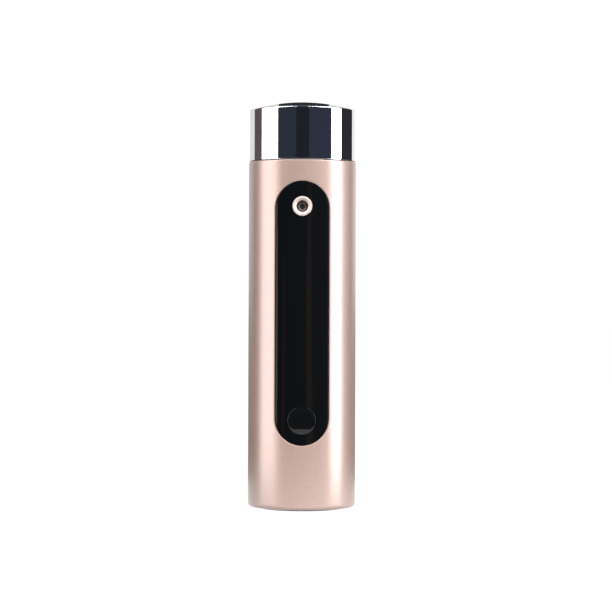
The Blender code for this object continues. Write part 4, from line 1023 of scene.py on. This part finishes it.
@dataclass
class Controls:
    """The mist nozzle's ring and mesh, and the power button."""

    ring: Extent = field(default_factory=lambda: Extent.of("nozzle_ring"))
    mesh: Extent = field(default_factory=lambda: Extent.of("mist_mesh"))
    button: Extent = field(default_factory=lambda: Extent.of("power_button"))
    tube: float = 2.6 * MM
    bore: float = 1.85 * MM
    rim_depth: float = 0.48 * MM
    rim_round: float = 0.22 * MM
    funnel_depth: float = 0.55 * MM
    mesh_wall: float = 0.2 * MM
    mesh_dome: float = 0.25 * MM
    button_flange: float = 0.85 * MM
    button_flange_wall: float = 0.7 * MM
    dome: float = 0.36 * MM
    shoulder: float = 0.3 * MM
    shoulder_drop: float = 0.1 * MM
    sides: int = 128

    def build(self, dresser: Dresser) -> None:
        """Builds the ring, the mesh and the button.

        Args:
            dresser: gives them their finishes.
        """
        self.build_ring(dresser)
        self.build_mesh(dresser)
        self.build_button(dresser)

    def build_ring(self, dresser: Dresser) -> None:
        """The ring: a rounded rim, a step, a funnel and a straight bore.

        Args:
            dresser: gives it its finish.
        """
        radius, front, back = self.ring.radius, self.ring.front, -self.ring.high.y
        profile = softened(
            [
                (self.tube, back, 0.0),
                (self.tube, front - self.rim_depth, 0.0),
                (radius, front - self.rim_depth, 0.0),
                (radius, front, self.rim_round),
                (self.tube - 0.05 * MM, front, 0.1 * MM),
                (self.tube - 0.1 * MM, front - 0.16 * MM, 0.05 * MM),
                (self.bore + 0.12 * MM, front - self.funnel_depth, 0.15 * MM),
                (self.bore, back, 0.0),
            ]
        )
        grid = forward_grid(np.concatenate([profile, profile[:1]]), circle(self.sides), self.ring.centre.z)
        skin = Skin().add(grid).build("nozzle_ring_skin")
        dresser.dress(skin, "ring_rose_gold", Body.HANDLE, "nozzle_ring")

    def build_mesh(self, dresser: Dresser) -> None:
        """The mist mesh: a flat rim and a shallow dome d (1 - (r / r0)^2).

        Args:
            dresser: gives it its finish.
        """
        back = -self.mesh.high.y
        r = np.linspace(0.0, self.bore, 8)
        rise = self.mesh_dome * (1 - (r / self.bore) ** 2)
        over = np.stack([r, back + self.mesh_wall + rise], axis=1)
        under = np.stack([r[::-1], back + rise[::-1]], axis=1)
        rim = np.array([(self.mesh.radius, back + self.mesh_wall), (self.mesh.radius, back)])
        grid = forward_grid(np.concatenate([over, rim, under]), circle(64), self.mesh.centre.z)
        skin = Skin().add(grid).build("mist_mesh_skin")
        dresser.dress(skin, "stainless_steel", Body.HANDLE, "mist_mesh")

    def build_button(self, dresser: Dresser) -> None:
        """The button: a dome d (1 - (r / r0)^2) with a rounded rim, and its hidden flange.

        Args:
            dresser: gives it its finish.
        """
        flange, front, back = self.button.radius, self.button.front, -self.button.high.y
        radius = flange - self.button_flange
        rim = radius - self.shoulder
        r = np.linspace(0.0, rim, 14)
        face = np.stack([r, front - self.dome * (r / rim) ** 2], axis=1)
        edge = softened(
            [
                (rim, front - self.dome, 0.0),
                (radius, front - self.dome - self.shoulder_drop, 0.2 * MM),
                (radius, back + self.button_flange_wall, 0.0),
                (flange, back + self.button_flange_wall, 0.1 * MM),
                (flange, back, 0.1 * MM),
                (0.0, back, 0.0),
            ],
            steps=7,
        )
        grid = forward_grid(np.concatenate([face, edge[1:]]), circle(self.sides), self.button.centre.z)
        skin = Skin().add(grid).build("button_skin", Turn.SOFT)
        dresser.dress(skin, "button_black", Body.BUTTON, "power_button")


# ---------------------------------------------------------------- cap and head


@dataclass
class Cap:
    """The chrome shell and its liner."""

    shell: Extent = field(default_factory=lambda: Extent.of("cap_shell"))
    liner: Extent = field(default_factory=lambda: Extent.of("cap_liner"))
    crown: float = 2.7 * MM
    edge: float = 0.7 * MM
    wall: float = 1.0 * MM
    liner_wall: float = 0.8 * MM
    liner_edge: float = 0.3 * MM
    sides: int = 256

    def crown_curve(self, radius: float, top: float, full: float, steps: int) -> np.ndarray:
        """Returns the dome's (r, z) rows, z = top - crown (r / full)^2, from r = 0 to radius."""
        r = np.linspace(0.0, radius, steps + 1)
        return np.stack([r, top - self.crown * (r / full) ** 2], axis=1)

    def build(self, dresser: Dresser) -> None:
        """Builds the shell and the liner.

        Args:
            dresser: gives them their finishes.
        """
        shell = self.cup("cap_skin", self.shell, self.wall, self.edge)
        dresser.dress(shell, "chrome_plate", Body.CAP, "cap_shell")
        liner = self.cup("cap_liner_skin", self.liner, self.liner_wall, self.liner_edge)
        dresser.dress(liner, "liner_white", Body.CAP, "cap_liner")

    def cup(self, name: str, room: Extent, wall: float, edge: float) -> bpy.types.Object:
        """A domed cup that is open below.

        Args:
            name: the piece's name.
            room: the room that it fills.
            wall: its wall.
            edge: the round where the dome meets the side.

        Returns:
            The cup.
        """
        radius, top, rim = room.radius, room.high.z, room.low.z
        shoulder = top - self.crown * ((radius - edge) / radius) ** 2
        over = self.crown_curve(radius - 1.6 * edge, top, radius, 40)
        side = softened(
            [
                tuple(over[-1]) + (0.0,),
                (radius, shoulder, edge),
                (radius, rim, 0.16 * MM),
                (radius - wall, rim, 0.1 * MM),
                (radius - wall, top - self.crown - wall, 0.4 * MM),
                (radius - 2.5 * wall, top - self.crown * ((radius - 2.5 * wall) / radius) ** 2 - wall, 0.0),
            ],
            steps=8,
        )
        under = self.crown_curve(radius - 2.5 * wall, top - wall, radius, 20)[::-1]
        grid = turned_grid(np.concatenate([over, side[1:], under[1:]]), circle(self.sides))
        return Skin().add(grid).build(name)


@dataclass
class Head:
    """What the cap covers: the grip ring, the blade, its boot and the filler plug."""

    grip: Extent = field(default_factory=lambda: Extent.of("cap_grip_ring"))
    blade: Extent = field(default_factory=lambda: Extent.of("scrub_blade"))
    boot: Extent = field(default_factory=lambda: Extent.of("blade_boot"))
    plug: Extent = field(default_factory=lambda: Extent.of("filler_plug"))
    sleeve: Extent = field(default_factory=lambda: Extent.of("body_sleeve"))
    blade_wall: float = 0.8 * MM
    blade_rise: float = 14.8 * MM
    blade_corner: float = 2.5 * MM
    bend_rise: float = 7.2 * MM
    bend_radius: float = 5.0 * MM
    bend_angle: float = math.radians(25.0)
    shoulder_depth: float = 8.4 * MM
    shoulder_step: float = 1.75 * MM
    shoulder_run: float = 2.0 * MM
    brim: float = 0.9 * MM
    boot_wall: float = 1.5 * MM
    plug_stem: float = 2.7 * MM
    plug_head: float = 1.2 * MM
    pull_lip: float = 0.55 * MM
    pull_spread: float = 0.42
    sides: int = 192

    def build(self, dresser: Dresser) -> None:
        """Builds the head's pieces.

        Args:
            dresser: gives them their finishes.
        """
        self.build_grip_ring(dresser)
        self.build_blade(dresser)
        self.build_boot(dresser)
        self.build_plug(dresser)

    def build_grip_ring(self, dresser: Dresser) -> None:
        """The grip ring: a circle of half its height carried round the axis.

        Args:
            dresser: gives it its finish.
        """
        half = (self.grip.high.z - self.grip.low.z) / 2
        a = circle(24)
        across = self.grip.radius - half + half * np.cos(a)
        profile = np.stack([across, self.grip.centre.z + half * np.sin(a)], axis=1)
        grid = turned_grid(np.concatenate([profile, profile[:1]]), circle(self.sides))
        skin = Skin().add(grid).build("grip_ring_skin", Turn.SOFT)
        dresser.dress(skin, "silicone", Body.HANDLE, "cap_grip_ring")

    def build_blade(self, dresser: Dresser) -> None:
        """The blade: a strip with rounded edges, bent forwards in an arc below its tip.

        Across, each section is a flattened loop of half width w(v) and half thickness t(v), which
        thins to an edge at the tip. Along, v first climbs straight, then turns through the bend.

        Args:
            dresser: gives it its finish.
        """
        thick, corner, run = self.blade_wall, self.blade_corner, self.shoulder_run
        rear = self.blade.high.y - thick / 2
        mouth = self.sleeve.high.z
        bend_z, tip, shoulder = mouth + self.bend_rise, mouth + self.blade_rise, mouth - self.shoulder_depth
        rise = 1.0 - np.cos(np.linspace(0.0, math.pi / 2, 14))
        v = np.concatenate(
            [
                [self.blade.low.z, shoulder - run, shoulder],
                np.linspace(shoulder + MM, bend_z, 12),
                np.linspace(bend_z, tip - corner, 26)[1:],
                tip - corner * rise[::-1][1:],
            ]
        )
        past = np.clip((v - (tip - corner)) / corner, 0.0, 1.0)
        half = self.blade.radius - corner + corner * np.sqrt(1 - past**2)
        half = half - self.shoulder_step * np.clip((shoulder - v) / run, 0.0, 1.0)
        thin = thick / 2 * (1.0 - 0.55 * np.clip((v - tip + 3 * corner) / (3 * corner), 0.0, 1.0))
        a = circle(96)
        across = np.sign(np.cos(a)) * np.abs(np.cos(a)) ** 0.16
        through = np.sign(np.sin(a)) * np.abs(np.sin(a)) ** 0.55
        x = half[:, None] * across[None]
        off = thin[:, None] * through[None]
        along = np.maximum(v - bend_z, 0.0)
        turn = np.minimum(along / self.bend_radius, self.bend_angle)
        rest = along - self.bend_radius * turn
        mid_y = rear - self.bend_radius * (1 - np.cos(turn)) - rest * np.sin(turn)
        mid_z = np.minimum(v, bend_z) + self.bend_radius * np.sin(turn) + rest * np.cos(turn)
        y = mid_y[:, None] + off * np.cos(turn)[:, None]
        z = mid_z[:, None] + off * np.sin(turn)[:, None]
        grid = np.stack([x, y, z], axis=-1)
        ends = [np.broadcast_to(grid[k].mean(axis=0), grid[k].shape) for k in (0, -1)]
        grid = np.concatenate([ends[0][None], grid, ends[1][None]])
        skin = Skin().add(grid).build("blade_skin")
        dresser.dress(skin, "stainless_steel", Body.HANDLE, "scrub_blade")

    def build_boot(self, dresser: Dresser) -> None:
        """The boot: a lip profile carried round a level slot.

        Args:
            dresser: gives it its finish.
        """
        half_depth = (self.boot.high.y - self.boot.low.y) / 2
        half_length = self.boot.radius - half_depth
        top, foot = self.boot.high.z, self.boot.low.z
        brim_low = top - self.brim
        grip = half_depth - self.boot_wall
        stem = half_depth - self.brim
        profile = softened(
            [
                (grip, foot, 0.0),
                (stem, foot, 0.1 * MM),
                (stem, brim_low, 0.0),
                (half_depth, brim_low, 0.2 * MM),
                (half_depth, top, 0.35 * MM),
                (grip, top, 0.3 * MM),
                (grip, foot, 0.0),
            ]
        )
        a = circle(96)
        centre = self.boot.centre
        reach = np.sign(np.cos(a)) * half_length
        rows = [
            np.stack([reach + r * np.cos(a), centre.y + r * np.sin(a), np.full_like(a, z)], axis=1)
            for r, z in profile
        ]
        skin = Skin().add(np.stack(rows)).build("boot_skin", Turn.SOFT)
        dresser.dress(skin, "silicone", Body.HANDLE, "blade_boot")

    def build_plug(self, dresser: Dresser) -> None:
        """The plug: a turned stem and head whose rim bulges forwards into a thin pull lip.

        The rim's radius grows by b exp(-(a / w)^4), and its top drops by the same share.

        Args:
            dresser: gives it its finish.
        """
        top, foot = self.plug.high.z, self.plug.low.z
        head = self.plug.radius
        middle_y = self.plug.high.y - head
        bulge = middle_y - head - self.plug.low.y
        stem, under = self.plug_stem, top - self.plug_head
        profile = softened(
            [
                (0.0, top, 0.0),
                (head, top, 0.4 * MM),
                (head, under, 0.15 * MM),
                (stem, under, 0.15 * MM),
                (stem, foot, 0.5 * MM),
                (0.0, foot, 0.0),
            ]
        )
        a = circle(96)
        signed = (a + math.pi) % (2 * math.pi) - math.pi
        share = np.exp(-((signed / self.pull_spread) ** 4))
        r, z = profile[:, 0][:, None], profile[:, 1][:, None]
        on_rim = np.clip((r - 0.75 * head) / (0.25 * head), 0.0, 1.0)
        wide = r + bulge * share[None] * on_rim
        sunk = z - np.maximum(z - under - self.pull_lip, 0.0) * share[None] * on_rim
        grid = np.stack([wide * np.sin(a), middle_y - wide * np.cos(a), sunk + 0 * wide], axis=-1)
        skin = Skin().add(grid).build("plug_skin", Turn.SOFT)
        dresser.dress(skin, "silicone", Body.PLUG, "filler_plug")


# ---------------------------------------------------------------- studio


@dataclass(frozen=True)
class Card:
    """A curved card that stands round the object and shows only in its reflections.

    Its angles are in degrees, round from the camera towards +X and up from level.
    """

    name: str
    start: float
    end: float
    radiance: float
    tint: Colour = (1.0, 1.0, 1.0)
    low: float = -50.0
    high: float = 48.0
    distance: float = 1.3

    def build(self, middle: float) -> None:
        """Makes the card, as a patch of a ball round the object's middle.

        Args:
            middle: the height of the object's middle.
        """
        steps = max(2, round(abs(self.end - self.start) / 4))
        a = np.radians(np.linspace(self.start, self.end, steps + 1))[None, :]
        e = np.radians(np.linspace(self.low, self.high, 13))[:, None]
        flat = self.distance * np.cos(e)
        up = middle + self.distance * np.sin(e) + 0 * a
        grid = np.stack([flat * np.sin(a), -flat * np.cos(a), up], axis=-1)
        card = Skin().add(grid, closed=False).build(self.name)
        card.data.materials.append(glow(self.name, self.tint, self.radiance))
        show_in_mirrors_only(card)


def glow(name: str, tint: Colour, radiance: float) -> bpy.types.Material:
    """A plain light-giving material.

    Args:
        name: the material's name.
        tint: the light's colour.
        radiance: how bright it is.

    Returns:
        The material.
    """
    nodes = Nodes(name)
    nodes.set(Roughness=1.0, Specular_IOR_Level=0.0, Base_Color=(0.0, 0.0, 0.0, 1.0))
    nodes.set(Emission_Color=(*tint, 1.0), Emission_Strength=radiance)
    return nodes.material


def show_in_mirrors_only(sheet: bpy.types.Object) -> None:
    """Hides a sheet from everything except reflections.

    Args:
        sheet: the sheet.
    """
    sheet.visible_camera = False
    sheet.visible_diffuse = False
    sheet.visible_shadow = False
    sheet.visible_transmission = False


@dataclass(frozen=True)
class SoftLight:
    """A soft area light that lights dull surfaces and that mirrors don't show."""

    name: str
    angle: float
    distance: float
    height: float
    size: float
    watts: float

    def build(self, middle: float) -> None:
        """Makes the light and turns it towards the object's middle.

        Args:
            middle: the height of the object's middle.
        """
        light = bpy.data.lights.new(self.name, "AREA")
        light.size = self.size
        light.energy = self.watts
        a = math.radians(self.angle)
        place = Vector((self.distance * math.sin(a), -self.distance * math.cos(a), self.height))
        made = bpy.data.objects.new(self.name, light)
        made.location = place
        made.rotation_mode = "QUATERNION"
        made.rotation_quaternion = (Vector((0.0, 0.0, middle)) - place).to_track_quat("-Z", "Y")
        made.visible_camera = False
        made.visible_glossy = False
        bpy.context.scene.collection.objects.link(made)


@dataclass(frozen=True)
class Flag:
    """An upright sheet behind and above the object that only the dome mirrors.

    Each row is a height above the object's top, and how far the sheet reaches to the left and right.
    """

    name: str
    distance: float
    rows: tuple[Triple, ...]
    radiance: float
    tint: Colour

    def build(self) -> None:
        """Makes the flag as a strip that stands upright behind the object."""
        rows = np.array(self.rows)
        x = -rows[:, 1:2] + (rows[:, 1:2] + rows[:, 2:3]) * np.linspace(0.0, 1.0, 9)[None]
        z = CAD_HIGH.z + rows[:, 0][:, None] + 0 * x
        grid = np.stack([x, np.full_like(x, self.distance), z], axis=-1)
        flag = Skin().add(grid, closed=False).build(self.name)
        flag.data.materials.append(glow(self.name, self.tint, self.radiance))
        show_in_mirrors_only(flag)


@dataclass
class Studio:
    """Floor, lights and camera."""

    distance: float = 0.75
    lens: float = 131.1
    eye: float = 0.4982
    roll: float = -0.2
    shift: float = 0.0065
    floor_near: float = 0.118
    floor_far: float = 6.0
    floor_strength: float = 1.02
    # painted contact shadow: the floor's glow fades to dark between these two distances from the axis
    shade: tuple[float, float] = (13.2 * MM, 14.4 * MM)
    room_tint: Colour = (0.9, 0.95, 1.1)
    room_strength: float = 0.06
    white_strength: float = 1.05
    cards: tuple[Card, ...] = (
        Card("card_front_left", -55.0, -14.0, 0.036, (0.75, 0.95, 1.35), high=40.0),
        Card("card_front", -14.0, 14.0, 0.018, (0.85, 0.95, 1.35), high=40.0),
        Card("card_front_right", 14.0, 65.5, 0.040, (0.80, 0.92, 1.45), high=40.0),
        Card("card_box_left", -99.0, -55.0, 2.9),
        Card("card_box_right", 65.5, 92.5, 4.6, (1.0, 1.12, 1.18)),
        Card("card_shade_left", -129.0, -99.0, 0.105, (1.12, 0.85, 0.85)),
        Card("card_shade_right", 92.5, 137.0, 0.030, (0.90, 0.95, 1.15)),
        Card("card_behind_left", -180.0, -129.0, 0.85, (1.0, 0.95, 0.94), low=0.0),
        Card("card_behind_right", 137.0, 180.0, 1.0, (1.0, 0.97, 0.96), low=0.0),
        Card("card_low_left", -180.0, -129.0, 0.25, (1.0, 0.92, 0.90), high=0.0),
        Card("card_low_right", 137.0, 180.0, 0.20, (1.0, 0.94, 0.92), high=0.0),
        Card("card_above_left", -84.0, -47.0, 7.0, low=42.0, high=84.0),
        Card("card_above_right", 47.0, 84.0, 7.0, low=42.0, high=84.0),
    )
    flags: tuple[Flag, ...] = (
        Flag(
            "flag_dark",
            0.30,
            ((0.024, 0.010, 0.0125), (0.045, 0.0135, 0.0155), (0.09, 0.020, 0.022), (0.18, 0.032, 0.034)),
            0.030,
            (0.80, 0.95, 1.35),
        ),
        Flag("flag_pale", 0.31, ((0.024, 0.10, 0.10), (0.10, 0.12, 0.12)), 0.70, (1.0, 0.99, 0.98)),
    )
    lights: tuple[SoftLight, ...] = (
        SoftLight("light_right", 42.0, 1.1, 0.8, 0.8, 15.5),
        SoftLight("light_front", -8.0, 1.0, 1.1, 0.7, 18.5),
        SoftLight("light_top", 180.0, 0.3, 1.4, 1.0, 1.0),
    )

    def build(self) -> None:
        """Builds the floor, the cards, the lights and the camera."""
        middle = (CAD_LOW.z + CAD_HIGH.z) / 2
        for item in (*self.cards, *self.lights):
            item.build(middle)
        for flag in self.flags:
            flag.build()
        self.build_floor()
        self.build_surroundings()
        self.build_camera()

    def build_floor(self) -> None:
        """A white floor: a near disc with a painted soft shadow under the foot, and a wide one round it.

        Mirrors show only the near disc.
        """
        a = circle(64)
        loops = [
            np.stack([r * np.sin(a), -r * np.cos(a), np.full_like(a, CAD_LOW.z)], axis=-1)
            for r in (0.0, self.floor_near, self.floor_far)
        ]
        for name, pair in (("floor_near", loops[:2]), ("floor_far", loops[1:])):
            floor = Skin().add(np.stack(pair)).build(name)
            if floor.data.polygons[0].normal.z < 0:
                floor.data.flip_normals()
            floor.data.materials.append(self.floor_material(name))
            floor.visible_glossy = name == "floor_near"
            floor.visible_diffuse = False

    def floor_material(self, name: str) -> bpy.types.Material:
        """The floor's white, with a painted contact shadow: its glow darkens in a ring round the axis, under
        the sleeve's foot.

        Args:
            name: the material's name.

        Returns:
            The material.
        """
        nodes = Nodes(name)
        away = nodes.new("ShaderNodeVectorMath", operation="LENGTH")
        nodes.link(nodes.stretched((1.0, 1.0, 0.0)), away.inputs[0])
        painted_shadow_tones = ((0.012, 0.008, 0.007), (1.0, 1.0, 1.0))
        # painted shadow: near the axis the glow colour ramps down to almost black
        shade = nodes.ramp(away.outputs["Value"], *self.shade, painted_shadow_tones)
        nodes.link(shade, nodes.shader.inputs["Emission Color"])
        nodes.colour(nodes.ramp(nodes.noise(60.0), 0.3, 0.7, ((0.05, 0.05, 0.05), (0.06, 0.06, 0.06))))
        nodes.set(Roughness=1.0, Specular_IOR_Level=0.0, Emission_Strength=self.floor_strength)
        return nodes.material

    def build_surroundings(self) -> None:
        """White where the camera looks past the object, and a dim room for everything else."""
        world = bpy.data.worlds.new("studio")
        world.use_nodes = True
        tree = world.node_tree
        room = tree.nodes["Background"]
        room.inputs["Color"].default_value = (*self.room_tint, 1.0)
        room.inputs["Strength"].default_value = self.room_strength
        white = tree.nodes.new("ShaderNodeBackground")
        white.inputs["Color"].default_value = (1.0, 1.0, 1.0, 1.0)
        white.inputs["Strength"].default_value = self.white_strength
        path = tree.nodes.new("ShaderNodeLightPath")
        mix = tree.nodes.new("ShaderNodeMixShader")
        tree.links.new(path.outputs["Is Camera Ray"], mix.inputs["Fac"])
        tree.links.new(room.outputs["Background"], mix.inputs[1])
        tree.links.new(white.outputs["Background"], mix.inputs[2])
        tree.links.new(mix.outputs["Shader"], tree.nodes["World Output"].inputs["Surface"])
        bpy.context.scene.world = world
        bpy.context.scene.view_settings.view_transform = "Standard"

    def build_camera(self) -> None:
        """A long lens straight in front, level with a little below the object's middle."""
        data = bpy.data.cameras.new("camera")
        data.lens = self.lens
        data.sensor_width = 36.0
        data.clip_end = 50.0
        data.shift_x = self.shift
        camera = bpy.data.objects.new("camera", data)
        camera.location = (0.0, -self.distance, CAD_LOW.z + self.eye * (CAD_HIGH.z - CAD_LOW.z))
        camera.rotation_euler = (math.pi / 2, math.radians(self.roll), 0.0)
        bpy.context.scene.collection.objects.link(camera)
        bpy.context.scene.camera = camera


def main() -> None:
    """Builds the looks from the frame, the handle outwards, then the studio round them."""
    logging.basicConfig(level=logging.INFO, format="%(name)s %(message)s")
    dresser = Dresser()
    dresser.dress_frame()
    handle = Handle()
    handle.build_sleeve(dresser)
    handle.build_panel(dresser)
    Controls().build(dresser)
    Cap().build(dresser)
    Head().build(dresser)
    Studio().build()


if __name__ == "__main__":
    main()
